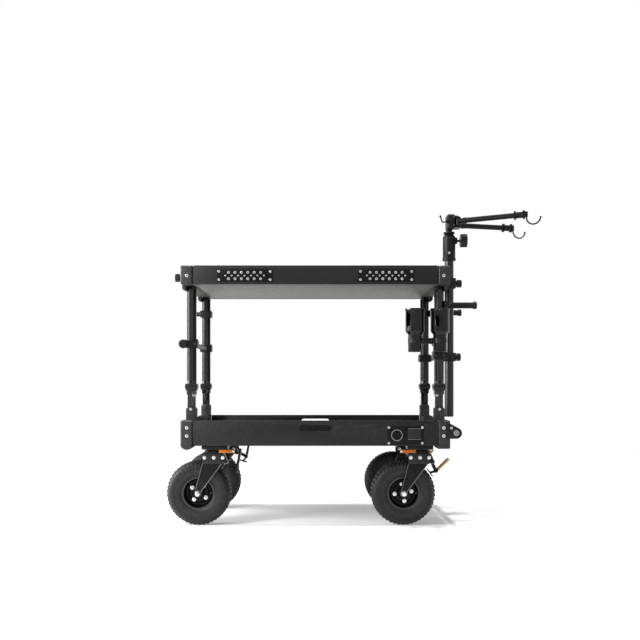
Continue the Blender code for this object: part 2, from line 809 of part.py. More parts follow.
def post_clamp(name, side_x, side_y, z, outboard=0.0):
    """Make a collar that is clamped round a post, longer outboard where it carries a bar."""
    x = side_x * PIVOT_X
    y = side_y * POST_Y
    far = side_x * (PIVOT_X + CLAMP_HALF + outboard)
    near = side_x * (PIVOT_X - CLAMP_HALF)
    half = CLAMP_HEIGHT / 2
    collar = box(
        name, (min(near, far), y - CLAMP_HALF, z - half), (max(near, far), y + CLAMP_HALF, z + half),
        SMALL_BEVEL, 1,
    )
    hole = POST_SIDE / 2 + GAP
    half += SINK
    return cut(collar, box(name + "_hole", (x - hole, y - hole, z - half), (x + hole, y + hole, z + half)))


def left_legs(joint, metal, casting):
    """Make the left pair of posts, the bar clamped across them and the rear post's peg."""
    mount(post("post_front_left", -1, -1), joint, metal)
    mount(post("post_rear_left", -1, 1), joint, metal)
    reach = POST_Y - POST_SIDE / 2 - CLAMP_WALL / 2
    bar = rod("clamp_bar", (-PIVOT_X, -reach, CLAMP_BAR_Z), (-PIVOT_X, reach, CLAMP_BAR_Z), BAR_RADIUS, 16)
    pieces = [post_clamp(f"clamp_collar_{side}", -1, side, CLAMP_BAR_Z) for side in (-1, 1)]
    knob_x = -PIVOT_X - CLAMP_HALF
    front = -POST_Y - CLAMP_HALF
    pieces.append(box(
        "clamp_ear", (knob_x - CLAMP_EAR_REACH, front, CLAMP_BAR_Z - CLAMP_EAR_DEPTH / 2),
        (knob_x + SINK, front + CLAMP_EAR_DEPTH, CLAMP_BAR_Z + CLAMP_EAR_DEPTH / 2),
    ))
    hand_x = knob_x - SIDE_KNOB_INSET
    pieces.append(rod(
        "clamp_hand", (hand_x, front - SIDE_KNOB_LENGTH, CLAMP_BAR_Z), (hand_x, front + SINK, CLAMP_BAR_Z),
        SIDE_KNOB_RADIUS, 16,
    ))
    mount(join(bar, *pieces), joint, casting)

    collar = post_clamp("hang_bar", -1, 1, HANG_BAR_Z)
    peg = rod(
        "hang_peg", (knob_x - HANG_PEG_LENGTH, POST_Y, HANG_BAR_Z), (knob_x + SINK, POST_Y, HANG_BAR_Z),
        BAR_RADIUS, 16,
    )
    mount(join(collar, peg), joint, casting)


def handle_crossbar(joint, material):
    """Make the push handles' crossbar, its two saddles on the posts and the cores of the grips."""
    half = SADDLE_HEIGHT / 2
    reach = POST_Y + SADDLE_WIDTH / 2 + SMALL_BEVEL
    bar = rod(
        "handle_crossbar", (CROSSBAR_X, -reach, HANDLE_Z), (CROSSBAR_X, reach, HANDLE_Z), CROSSBAR_RADIUS, 16
    )
    pieces = []
    for side in (-1, 1):
        y = side * POST_Y
        pieces.append(box(
            f"handle_saddle_{side}",
            (PIVOT_X + POST_SIDE / 2 + GAP, y - SADDLE_WIDTH / 2, HANDLE_Z - half),
            (CROSSBAR_X, y + SADDLE_WIDTH / 2, HANDLE_Z + half), SMALL_BEVEL, 1,
        ))
        y = side * HANDLE_SPREAD / 2
        end = CROSSBAR_X + CROSSBAR_RADIUS + GRIP_CORE_LENGTH
        pieces.append(rod(
            f"handle_core_{side}", (CROSSBAR_X, y, HANDLE_Z), (end, y, HANDLE_Z), GRIP_CORE_RADIUS, 16
        ))
    mount(join(bar, *pieces), joint, material)


def grips(joint, material):
    """Make the two rubber grips, open at the crossbar and closed by a flared cap."""
    bore = GRIP_CORE_RADIUS + GAP
    start = CROSSBAR_X + CROSSBAR_RADIUS + GAP
    depth = GRIP_CORE_LENGTH + GAP
    cap = GRIP_CAP_LENGTH
    profile = [
        (0, GRIP_LENGTH), (GRIP_CAP_RADIUS - SMALL_BEVEL, GRIP_LENGTH),
        (GRIP_CAP_RADIUS, GRIP_LENGTH - SMALL_BEVEL),
        (GRIP_CAP_RADIUS, GRIP_LENGTH - cap), (GRIP_RADIUS, GRIP_LENGTH - 1.5 * cap), (GRIP_RADIUS, 0),
        (bore, 0), (bore, depth), (0, depth),
    ]
    for name, side in (("grip_front", -1), ("grip_rear", 1)):
        place = (start, side * HANDLE_SPREAD / 2, HANDLE_Z)
        mount(turned(name, profile, 20, "X", place), joint, material)


# Mug holders

def mug_holder(name, x, slot_turn):
    """Make a stepped mug holder with a slot for the mug's handle."""
    step = MUG_BOTTOM_Z + MUG_STEP_RISE
    shoulder = step + MUG_STEP_HEIGHT
    top = MUG_BOTTOM_Z + MUG_HEIGHT
    lip = MUG_LIP
    profile = [
        (0, MUG_BOTTOM_Z), (MUG_LOWER_RADIUS, MUG_BOTTOM_Z), (MUG_LOWER_RADIUS, step),
        (MUG_UPPER_RADIUS, shoulder), (MUG_UPPER_RADIUS, top - 2 * lip), (MUG_UPPER_RADIUS + lip, top),
        (MUG_UPPER_RADIUS - MUG_WALL + lip, top), (MUG_UPPER_RADIUS - MUG_WALL, top - 2 * lip),
        (MUG_UPPER_RADIUS - MUG_WALL, shoulder + MUG_WALL / 2),
        (MUG_LOWER_RADIUS - MUG_WALL, step + MUG_WALL / 2),
        (MUG_LOWER_RADIUS - MUG_WALL, MUG_BOTTOM_Z + MUG_WALL), (0, MUG_BOTTOM_Z + MUG_WALL),
    ]
    cup = turned(name, profile, 20, "Z", (x, MUG_Y, 0))
    half = MUG_SLOT_WIDTH / 2
    slot = box(name + "_slot", (-half, -2 * MUG_UPPER_RADIUS, top - MUG_SLOT_DEPTH), (half, 0, top + SINK))
    move(slot, Matrix.Translation((x, MUG_Y, 0)) @ Matrix.Rotation(math.radians(-slot_turn), 4, "Z"))
    return cut(cup, slot)


def mug_holders(joint, material):
    """Make the pair of mug holders and the bracket that clamps them to the front right post."""
    places = {"inner": MUG_OUTER_X - MUG_SPACING, "outer": MUG_OUTER_X}
    half = MUG_ARM_HEIGHT / 2
    low = MUG_ARM_Z - half
    high = MUG_ARM_Z + half
    back = -POST_Y - CLAMP_HALF
    front = MUG_Y + MUG_LOWER_RADIUS / 2
    collar = post_clamp("mug_bracket", 1, -1, MUG_ARM_Z)
    bar_back = MUG_Y + MUG_LOWER_RADIUS + MUG_BAR_WALL
    end = PIVOT_X + MUG_ARM_WIDTH / 2
    arm = box(
        "mug_arm", (PIVOT_X - MUG_ARM_WIDTH / 2, bar_back - SINK, low), (end, back + SINK, high)
    )
    bar = box("mug_bar", (places["inner"] - MUG_BAR_OVERHANG, front, low), (end, bar_back, high))
    join(collar, arm, bar)
    saddles = []
    for tag, x in places.items():
        saddles.append(rod(
            f"mug_saddle_{tag}", (x, MUG_Y, low - SINK), (x, MUG_Y, high + SINK), MUG_LOWER_RADIUS + GAP
        ))
    mount(cut(collar, *saddles), joint, material)
    for tag, x in places.items():
        mount(mug_holder(f"mug_holder_{tag}", x, MUG_SLOT_TURNS[tag]), joint, material)


def mast_bar(joint, material):
    """Make the bar across the right posts, whose jaw backs the mast and is open outboard."""
    reach = POST_Y + CLAMP_HALF
    bar = rod(
        "mast_bar", (CROSSBAR_X, -reach, MAST_BAR_Z), (CROSSBAR_X, reach, MAST_BAR_Z), CROSSBAR_RADIUS, 16
    )
    outboard = CROSSBAR_X - PIVOT_X - CLAMP_HALF + SINK
    pieces = [post_clamp(f"mast_bar_clamp_{side}", 1, side, MAST_BAR_Z, outboard) for side in (-1, 1)]
    half = MAST_RADIUS + JAW_WALL
    pieces.append(box(
        "mast_jaw", (CROSSBAR_X - CROSSBAR_RADIUS / 2, -half, MAST_BAR_Z - JAW_HEIGHT / 2),
        (MAST_X - SINK, half, MAST_BAR_Z + JAW_HEIGHT / 2),
    ))
    join(bar, *pieces)
    bore = rod(
        "mast_jaw_bore", (MAST_X, 0, MAST_BAR_Z - JAW_HEIGHT), (MAST_X, 0, MAST_BAR_Z + JAW_HEIGHT), MAST_BORE
    )
    mount(cut(bar, bore), joint, material)


def right_legs(joint, metal, casting, rubber):
    """Make the right pair of posts and all that is clamped to them."""
    mount(post("post_front_right", 1, -1), joint, metal)
    mount(post("post_rear_right", 1, 1), joint, metal)
    handle_crossbar(joint, casting)
    grips(joint, rubber)
    mug_holders(joint, casting)
    mast_bar(joint, casting)


# Top shelf

def shelf_panels(joint, board_material, sheet_material):
    """Make the shelf's board and the sheet that closes it below."""
    width = RAIL_INNER_Y - GAP
    board = box("top_board", (-RAIL_END_X, -width, BOARD_BOTTOM), (RAIL_END_X, width, BOARD_TOP))
    mount(board, joint, board_material)
    sheet_top = SHELF_BOTTOM + UNDERSIDE_SHEET
    sheet = box("top_underside", (-RAIL_END_X, -width, SHELF_BOTTOM), (RAIL_END_X, width, sheet_top))
    mount(sheet, joint, sheet_material)


def shelf_rails(joint, material):
    """Make the shelf's two long rails. The front one carries two plates of threaded inserts."""
    sheet_top = SHELF_BOTTOM + UNDERSIDE_SHEET + GAP
    ledges = [
        (sheet_top, sheet_top + LEDGE_THICKNESS),
        (BOARD_BOTTOM - GAP - LEDGE_THICKNESS, BOARD_BOTTOM - GAP),
    ]
    for name, side in (("top_rail_front", -1), ("top_rail_rear", 1)):
        body = rail(name, side, SHELF_BOTTOM, SHELF_HEIGHT, ledges)
        plates = []
        for x in (-INSERT_PLATE_X, INSERT_PLATE_X):
            z = SHELF_BOTTOM + INSERT_PLATE_RISE
            plates.append(face_plate(
                f"{name}_plate_{x}", x, z, INSERT_PLATE_LENGTH, INSERT_PLATE_HEIGHT, side
            ))
        mount(join(body, *plates), joint, material)


def post_lobe(name, side_x, side_y):
    """Make the cheek that hangs outboard of a post's head and keeps it upright."""
    y = side_y * POST_Y
    outer = HALF_LENGTH - SINK / 2
    inner = PIVOT_X + POST_SIDE / 2 + GAP
    low = SHELF_BOTTOM - POST_LOBE_DROP
    top = SHELF_BOTTOM + CORNER_BEVEL + SINK
    radius = POST_LOBE_ROUNDING
    outline = [(inner, top), (inner, low)]
    outline += arc((outer - radius, low + radius), radius, 270, 360, 5)
    outline.append((outer, top))
    outline = [(side_x * across, up) for across, up in outline]
    return prism(name, outline, "Y", y - CLAMP_HALF, y + CLAMP_HALF)


def shelf_ends(joint, material):
    """Make the shelf's two end castings with their corners and post cheeks."""
    for name, side_x in (("top_end_left", -1), ("top_end_right", 1)):
        beam = end_beam(
            name, side_x, SHELF_BOTTOM, SHELF_TOP - CORNER_BEVEL,
            BOARD_BOTTOM - GAP - LEDGE_THICKNESS, BOARD_BOTTOM - GAP, BOARD_BOTTOM - 2 * GAP, BOARD_TOP,
        )
        root = side_x * (HALF_LENGTH - SINK)
        edge = side_x * CORNER_X
        half = CORNER_Y + SINK
        pieces = [box(
            name + "_foot", (min(root, edge), -half, SHELF_BOTTOM),
            (max(root, edge), half, SHELF_BOTTOM + LEDGE_THICKNESS),
        )]
        for side_y in (-1, 1):
            tag = f"{name}_{side_y}"
            pieces.append(corner_block(tag, side_x, side_y, SHELF_BOTTOM, SHELF_TOP))
            pieces.append(post_lobe(tag + "_lobe", side_x, side_y))
        mount(combine(beam, pieces, "UNION", "MANIFOLD"), joint, material)


def mast_top_bracket(joint, material):
    """Make the bracket on the shelf's right end that the mast slides in."""
    low = SHELF_BOTTOM + TOP_BRACKET_RISE
    high = low + TOP_BRACKET_HEIGHT
    half = MAST_RADIUS + JAW_WALL
    body = box(
        "mast_top_bracket", (HALF_LENGTH + GAP, -half, low), (MAST_X + half - SINK, half, high),
        JAW_ROUNDING, 2, "Z",
    )
    bore = rod("mast_top_bore", (MAST_X, 0, low - SINK), (MAST_X, 0, high + SINK), MAST_BORE)
    mount(cut(body, bore), joint, material)


# Mast, head and hook arms

def mast_tube(joint, material):
    """Make the mast: a tube that is open at its foot."""
    profile = [
        (0, MAST_TOP_Z - GAP), (MAST_RADIUS, MAST_TOP_Z - GAP), (MAST_RADIUS, MAST_BOTTOM_Z),
        (MAST_BORE_RADIUS, MAST_BOTTOM_Z), (MAST_BORE_RADIUS, MAST_TOP_Z - MAST_CAP_THICKNESS),
        (0, MAST_TOP_Z - MAST_CAP_THICKNESS),
    ]
    mount(turned("mast_tube", profile, 24, "Z", (MAST_X, 0, 0)), joint, material)


def mast_base_clamp(joint, material):
    """Make the outer half of the mast's lower clamp, with its hand knob."""
    half = MAST_RADIUS + JAW_WALL
    low = MAST_BAR_Z - JAW_HEIGHT / 2
    high = MAST_BAR_Z + JAW_HEIGHT / 2
    outer = MAST_X + half - SINK
    band = box("mast_base_clamp", (MAST_X + GAP, -half, low), (outer, half, high), JAW_ROUNDING, 2, "Z")
    cut(band, rod("mast_band_bore", (MAST_X, 0, low - SINK), (MAST_X, 0, high + SINK), MAST_BORE))
    hand = knob(
        "mast_base_hand", (outer - SINK, 0, MAST_BAR_Z), SIDE_KNOB_RADIUS, SIDE_KNOB_LENGTH,
        MAST_BASE_STEM_LENGTH, 1,
    )
    mount(join(band, hand), joint, material)


def mast_socket(joint, material):
    """Make the socket on the mast's top, with the boss of its clamp screw."""
    foot = MAST_TOP_Z
    top = SOCKET_TOP_Z
    flange = SOCKET_FLANGE_HEIGHT
    profile = [
        (SOCKET_BORE_RADIUS, top), (SOCKET_RADIUS - SOCKET_SHOULDER_WIDTH, top),
        (SOCKET_RADIUS, top - SOCKET_SHOULDER_DROP),
        (SOCKET_RADIUS, foot + flange), (SOCKET_FLANGE_RADIUS, foot + flange), (SOCKET_FLANGE_RADIUS, foot),
        (0, foot), (0, top - SOCKET_BORE_DEPTH), (SOCKET_BORE_RADIUS, top - SOCKET_BORE_DEPTH),
    ]
    body = turned("mast_socket", profile, 24, "Z", (MAST_X, 0, 0), closed=True)
    z = foot + TEE_KNOB_RISE
    start = (MAST_X + SOCKET_BORE_RADIUS + TEE_BOSS_INSET, 0, z)
    boss = rod("mast_boss", start, (MAST_X + TEE_BOSS_REACH, 0, z), TEE_BOSS_RADIUS, 16)
    mount(join(body, boss), joint, material)


def mast_head(joint, material):
    """Make the head: spigot, disc, block, and two ears with the pins of the hook arms."""
    spigot_low = SOCKET_TOP_Z - SOCKET_BORE_DEPTH + SINK
    block_low = HEAD_Z + HEAD_BLOCK_RISE
    disc_top = HEAD_Z - HEAD_NECK_DROP - SINK
    profile = [
        (0, block_low + SINK), (HEAD_COLLAR_RADIUS, block_low + SINK),
        (HEAD_NECK_RADIUS, HEAD_Z - HEAD_NECK_DROP), (HEAD_DISC_RADIUS, disc_top),
        (HEAD_DISC_RADIUS, disc_top - HEAD_DISC_THICKNESS), (HEAD_FOOT_RADIUS, SOCKET_TOP_Z + GAP),
        (SOCKET_BORE_RADIUS - GAP, SOCKET_TOP_Z + GAP),
        (SOCKET_BORE_RADIUS - GAP, spigot_low), (0, spigot_low),
    ]
    body = turned("mast_head", profile, 16, "Z", (MAST_X, 0, 0))
    top = HEAD_Z + HEAD_HEIGHT
    half = HEAD_WIDTH / 2
    block_x = MAST_X + HEAD_BLOCK_OFFSET
    block = box(
        "head_block", (block_x - half, -HEAD_DEPTH / 2, block_low), (block_x + half, HEAD_DEPTH / 2, top),
        HEAD_BLOCK_BEVEL, 1,
    )
    pieces = [block]
    eye_half = ARM_EYE_HEIGHT / 2 + GAP
    ear_x = MAST_X + ARM_PIVOT_REACH
    for tag, low in (
        ("low", ARM_MID_Z - eye_half - HEAD_EAR_THICKNESS),
        ("high", ARM_MID_Z + eye_half),
    ):
        outline = [(block_x, -HEAD_DEPTH / 2 + SINK)]
        outline += arc((ear_x, -ARM_PIVOT_SPREAD / 2), ARM_EYE_RADIUS, -90, 0, 4)
        outline += arc((ear_x, ARM_PIVOT_SPREAD / 2), ARM_EYE_RADIUS, 0, 90, 4)
        outline.append((block_x, HEAD_DEPTH / 2 - SINK))
        pieces.append(prism(f"head_ear_{tag}", outline, "Z", low, low + HEAD_EAR_THICKNESS))
    for side in (-1, 1):
        y = side * ARM_PIVOT_SPREAD / 2
        reach = eye_half + HEAD_EAR_THICKNESS / 2
        low = (ear_x, y, ARM_MID_Z - reach)
        high = (ear_x, y, ARM_MID_Z + reach)
        pieces.append(rod(f"head_pin_{side}", low, high, ARM_PIN_RADIUS, 12))
    mount(join(body, *pieces), joint, material)


def hook_arm(name, joint, length, z_step, yaw, material):
    """Make a hook arm about its pivot: eye, tube, end collar and hook, turned to its yaw."""
    eye = rod(name, (0, 0, -ARM_EYE_HEIGHT / 2), (0, 0, ARM_EYE_HEIGHT / 2), ARM_EYE_RADIUS, 16)
    root = (ARM_PIN_RADIUS + ARM_EYE_RADIUS) / 2
    tube = rod(name + "_tube", (root, 0, z_step), (length, 0, z_step), ARM_RADIUS, 16)
    pieces = [tube]
    for tag, place in (("end", length), ("inner", length - ARM_FLANGE_SPACING)):
        pieces.append(rod(
            f"{name}_{tag}_flange", (place - ARM_FLANGE_THICKNESS, 0, z_step), (place + SINK / 2, 0, z_step),
            ARM_FLANGE_RADIUS, 16,
        ))
    collar_start = length - ARM_FLANGE_SPACING
    pieces.append(rod(
        name + "_collar", (collar_start, 0, z_step), (length - SINK, 0, z_step), ARM_COLLAR_RADIUS, 16
    ))
    path = [(length - SINK, HOOK_ROOT_RISE), (length + HOOK_NECK_REACH, HOOK_NECK_RISE)]
    path += arc((length + HOOK_REACH, -HOOK_RISE), HOOK_RADIUS, 178, 355, 11)
    hook = wire(name + "_hook", [(along, 0, z_step + up) for along, up in path], HOOK_WIRE_RADIUS, 1)
    pieces.append(hook)
    join(eye, *pieces)
    reach = ARM_EYE_HEIGHT
    cut(eye, rod(name + "_bore", (0, 0, -reach), (0, 0, reach), ARM_PIN_RADIUS + GAP, 12))
    move(eye, Matrix.Rotation(math.radians(yaw), 4, "Z"))
    mount(eye, joint, material, local=True)


# Casters

def tyre_mesh():
    """Make a tyre about the wheel's centre, with a flat facet down so that the cart stands still."""
    corner = 1 / math.cos(math.pi / WHEEL_FACETS)
    depth = WHEEL_RADIUS - RIM_RADIUS
    bead = RIM_HALF_WIDTH - GAP
    half = [(RIM_RADIUS + GAP, bead), (RIM_LIP_RADIUS + SINK, bead)]
    half += [(RIM_RADIUS + share * depth, TYRE_HALF_WIDTH * spread) for share, spread in TYRE_SIDE]
    profile = [(radius * corner, height) for radius, height in half]
    profile += [(radius * corner, -height) for radius, height in reversed(half)]
    turn = math.pi / WHEEL_FACETS
    return turned("tyre_front_left", profile, WHEEL_FACETS, "Y", (0, 0, 0), closed=True, turn=turn)


def rim_mesh():
    """Make a rim about the wheel's centre: two lips, a well, a disc and a hub."""
    lip = RIM_HALF_WIDTH + RIM_LIP_THICKNESS
    well = RIM_RADIUS - RIM_WALL
    bore = AXLE_RADIUS + GAP
    half = [
        (bore, HUB_HALF_WIDTH), (HUB_RADIUS, HUB_HALF_WIDTH), (HUB_RADIUS, RIM_DISC_HALF),
        (well - RIM_DRAFT, RIM_DISC_HALF), (well, lip), (RIM_LIP_RADIUS, lip),
        (RIM_LIP_RADIUS, RIM_HALF_WIDTH), (RIM_RADIUS, RIM_HALF_WIDTH),
    ]
    profile = half + [(radius, -height) for radius, height in reversed(half)]
    return turned("rim_front_left", profile, 16, "Y", (0, 0, 0), closed=True)


def fork_mesh():
    """Make a fork about its swivel axis: crown, two tapered plates, axle and brake pin."""
    outer = FORK_INNER_HALF + FORK_PLATE
    crown_low = FORK_TOP_Z - FORK_CROWN
    crown_half = FORK_INNER_HALF + SINK
    fork = box(
        "fork_front_left", (FORK_BACK + SINK, -crown_half, crown_low), (FORK_FRONT, crown_half, FORK_TOP_Z)
    )
    axle_x = -CASTER_TRAIL
    boss = FORK_BOSS_RADIUS
    top = FORK_TOP_Z - SINK
    outline = [(FORK_BACK, top), (FORK_BACK + FORK_EDGE_DRAFT, BRAKE_PIVOT_Z)]
    outline.append((axle_x + FORK_REAR_WAIST[0], WHEEL_RADIUS + FORK_REAR_WAIST[1]))
    outline += arc((axle_x, WHEEL_RADIUS), boss, 160, 360, 8)
    outline.append((axle_x + FORK_FRONT_WAIST[0], WHEEL_RADIUS + FORK_FRONT_WAIST[1]))
    outline.append((FORK_FRONT - FORK_EDGE_DRAFT, BRAKE_PIVOT_Z - BRAKE_PIN_RADIUS))
    outline += arc((BRAKE_PIVOT_X, BRAKE_PIVOT_Z), BRAKE_EAR_RADIUS, -110, 60, 5)
    outline.append((FORK_FRONT + FORK_FRONT_LIP, top))
    pieces = []
    for side in (-1, 1):
        near = side * FORK_INNER_HALF
        far = side * outer
        pieces.append(prism(f"fork_plate_{side}", outline, "Y", min(near, far), max(near, far)))
        spacer = side * (HUB_HALF_WIDTH + GAP)
        pieces.append(rod(
            f"fork_spacer_{side}", (axle_x, spacer, WHEEL_RADIUS), (axle_x, near + side * SINK, WHEEL_RADIUS),
            AXLE_SPACER_RADIUS, 12,
        ))
        pieces.append(rod(
            f"fork_nut_{side}", (axle_x, far - side * SINK, WHEEL_RADIUS),
            (axle_x, far + side * AXLE_NUT_HEIGHT, WHEEL_RADIUS), AXLE_NUT_RADIUS, 6,
        ))
    pieces.append(rod(
        "fork_axle", (axle_x, -outer, WHEEL_RADIUS), (axle_x, outer, WHEEL_RADIUS), AXLE_RADIUS, 16
    ))
    pin_half = outer - SINK
    pieces.append(rod(
        "fork_brake_pin", (BRAKE_PIVOT_X, -pin_half, BRAKE_PIVOT_Z), (BRAKE_PIVOT_X, pin_half, BRAKE_PIVOT_Z),
        BRAKE_PIN_RADIUS, 12,
    ))
    return join(fork, *pieces)


def bar_between(name, start, end, thickness, width):
    """Make a flat bar between two (X, Z) points, as wide along Y as given."""
    run = Vector((end[0] - start[0], end[1] - start[1]))
    across = Vector((-run.y, run.x)).normalized() * thickness / 2
    start = Vector(start)
    end = Vector(end)
    outline = [tuple(start - across), tuple(end - across), tuple(end + across), tuple(start + across)]
    return prism(name, outline, "Y", -width / 2, width / 2)


def brake_mesh():
    """Make a brake lever about its pin: barrel, arm, pedal and the shoe that meets the tyre."""
    half = FORK_INNER_HALF - GAP
    lever = rod("brake_lever_front_left", (0, -half, 0), (0, half, 0), BRAKE_BARREL_RADIUS, 16)
    arm = bar_between("brake_arm", (0, 0), BRAKE_ELBOW, BRAKE_ARM_THICKNESS, BRAKE_ARM_WIDTH)
    pedal = bar_between("brake_pedal", BRAKE_ELBOW, BRAKE_PEDAL_TIP, BRAKE_PEDAL_THICKNESS, BRAKE_PEDAL_WIDTH)
    elbow = rod(
        "brake_elbow", (BRAKE_ELBOW[0], -BRAKE_PEDAL_WIDTH / 2 + SINK, BRAKE_ELBOW[1]),
        (BRAKE_ELBOW[0], BRAKE_PEDAL_WIDTH / 2 - SINK, BRAKE_ELBOW[1]), BRAKE_ELBOW_RADIUS, 12,
    )
    wheel = Vector((-CASTER_TRAIL - BRAKE_PIVOT_X, WHEEL_RADIUS - BRAKE_PIVOT_Z))
    angle = math.radians(BRAKE_SHOE_ANGLE)
    outward = Vector((math.cos(angle), math.sin(angle)))
    tangent = Vector((-outward.y, outward.x))
    middle = wheel + outward * (WHEEL_RADIUS + BRAKE_SHOE_GAP + BRAKE_SHOE_THICKNESS / 2)
    shoe = bar_between(
        "brake_shoe", tuple(middle - tangent * BRAKE_SHOE_LENGTH / 2),
        tuple(middle + tangent * BRAKE_SHOE_LENGTH / 2), BRAKE_SHOE_THICKNESS, BRAKE_SHOE_WIDTH,
    )
    link = bar_between("brake_link", tuple(middle), BRAKE_ELBOW, BRAKE_ARM_THICKNESS, BRAKE_LINK_WIDTH)
    join(lever, arm, elbow, pedal, shoe, link)
    reach = FORK_INNER_HALF + SINK
    return cut(lever, rod("brake_bore", (0, -reach, 0), (0, reach, 0), BRAKE_PIN_RADIUS + GAP, 12))


def lock_pivot(side_x, side_y):
    """Return a swivel lock's pivot in plan, from the caster's axis."""
    inboard = -side_x
    return inboard * (LOCK_NEAR + LOCK_PIVOT_INSET), side_y * LOCK_OFFSET_Y


def caster_plate(name, side_x, side_y):
    """Make a caster's top plate about its swivel axis, with the race and the lock's bracket."""
    plate = box(
        name, (-PLATE_HALF_LENGTH, -PLATE_HALF_WIDTH, PLATE_BOTTOM_Z),
        (PLATE_HALF_LENGTH, PLATE_HALF_WIDTH, CASTER_TOP_Z), PLATE_CORNER, 1, "Z",
    )
    race = rod(name + "_race", (0, 0, RACE_BOTTOM_Z), (0, 0, PLATE_BOTTOM_Z + SINK), RACE_RADIUS, 20)
    inboard = -side_x
    near = inboard * LOCK_NEAR
    far = inboard * (LOCK_NEAR + LOCK_LENGTH - LOCK_OVERHANG)
    front = side_y * (PLATE_HALF_WIDTH - SINK)
    back = side_y * (LOCK_OFFSET_Y - LOCK_DEPTH)
    bracket = box(
        name + "_bracket", (min(near, far), min(front, back), LOCK_TOP_Z + GAP),
        (max(near, far), max(front, back), PLATE_BOTTOM_Z + SINK * 2),
    )
    pivot_x, pivot_y = lock_pivot(side_x, side_y)
    pin = rod(
        name + "_pin", (pivot_x, pivot_y, LOCK_BOTTOM_Z), (pivot_x, pivot_y, PLATE_BOTTOM_Z),
        LOCK_PIN_RADIUS, 12,
    )
    return join(plate, race, bracket, pin)


def swivel_lock(name, side_x, side_y):
    """Make a swivel lock's lever about its own pivot."""
    inboard = -side_x
    half = LOCK_DEPTH / 2
    reach = LOCK_LENGTH - LOCK_PIVOT_INSET - half
    outline = arc((-LOCK_PIVOT_INSET + half, 0), half, 90, 270, 5) + arc((reach, 0), half, -90, 90, 5)
    outline = [(inboard * across, up) for across, up in outline]
    lever = prism(name, outline, "Z", LOCK_BOTTOM_Z, LOCK_TOP_Z)
    low = LOCK_BOTTOM_Z - SINK
    return cut(lever, rod(name + "_bore", (0, 0, low), (0, 0, LOCK_TOP_Z + SINK), LOCK_PIN_RADIUS + GAP, 12))


def casters(cart, steel, tyre_rubber, rim_paint, accent):
    """Make the four casters: plate, swivel lock, fork, rim, tyre and brake lever."""
    first = {}
    for end, side_x, swivel_x in (("left", -1, SWIVEL_LEFT_X), ("right", 1, SWIVEL_RIGHT_X)):
        for row, side_y in (("front", -1), ("rear", 1)):
            tag = f"{row}_{end}"
            place = Vector((swivel_x, side_y * POST_Y, 0))
            seat = pivot(f"seat_{tag}", place, cart)
            mount(caster_plate(f"caster_plate_{tag}", side_x, side_y), seat, steel, local=True)
            lock_x, lock_y = lock_pivot(side_x, side_y)
            lock = pivot(f"lock_axis_{tag}", place + Vector((lock_x, lock_y, 0)), cart)
            mount(swivel_lock(f"swivel_lock_{tag}", side_x, side_y), lock, accent, local=True)
            swivel = pivot(f"swivel_{tag}", place, cart)
            axle = pivot(f"axle_{tag}", place + Vector((-CASTER_TRAIL, 0, WHEEL_RADIUS)), swivel)
            hinge = pivot(
                f"brake_axis_{tag}", place + Vector((BRAKE_PIVOT_X, 0, BRAKE_PIVOT_Z)), swivel,
                -BRAKE_LIFT if side_x < 0 else 0.0,
            )
            makers = (
                ("fork", fork_mesh, swivel, steel), ("rim", rim_mesh, axle, rim_paint),
                ("tyre", tyre_mesh, axle, tyre_rubber), ("brake_lever", brake_mesh, hinge, accent),
            )
            for kind, make, joint, material in makers:
                if kind in first:
                    piece = share(first[kind], f"{kind}_{tag}")
                else:
                    piece = make()
                    first[kind] = piece
                mount(piece, joint, material, local=True)


def centre_on_origin(cart):
    """Slide the cart so that the middle of its whole plan is at the origin."""
    bpy.context.view_layer.update()
    corners = [
        piece.matrix_world @ Vector(corner)
        for piece in PARTS.objects if piece.type == "MESH" for corner in piece.bound_box
    ]
    for axis in (0, 1):
        values = [corner[axis] for corner in corners]
        cart.location[axis] = -(min(values) + max(values)) / 2
    bpy.context.view_layer.update()


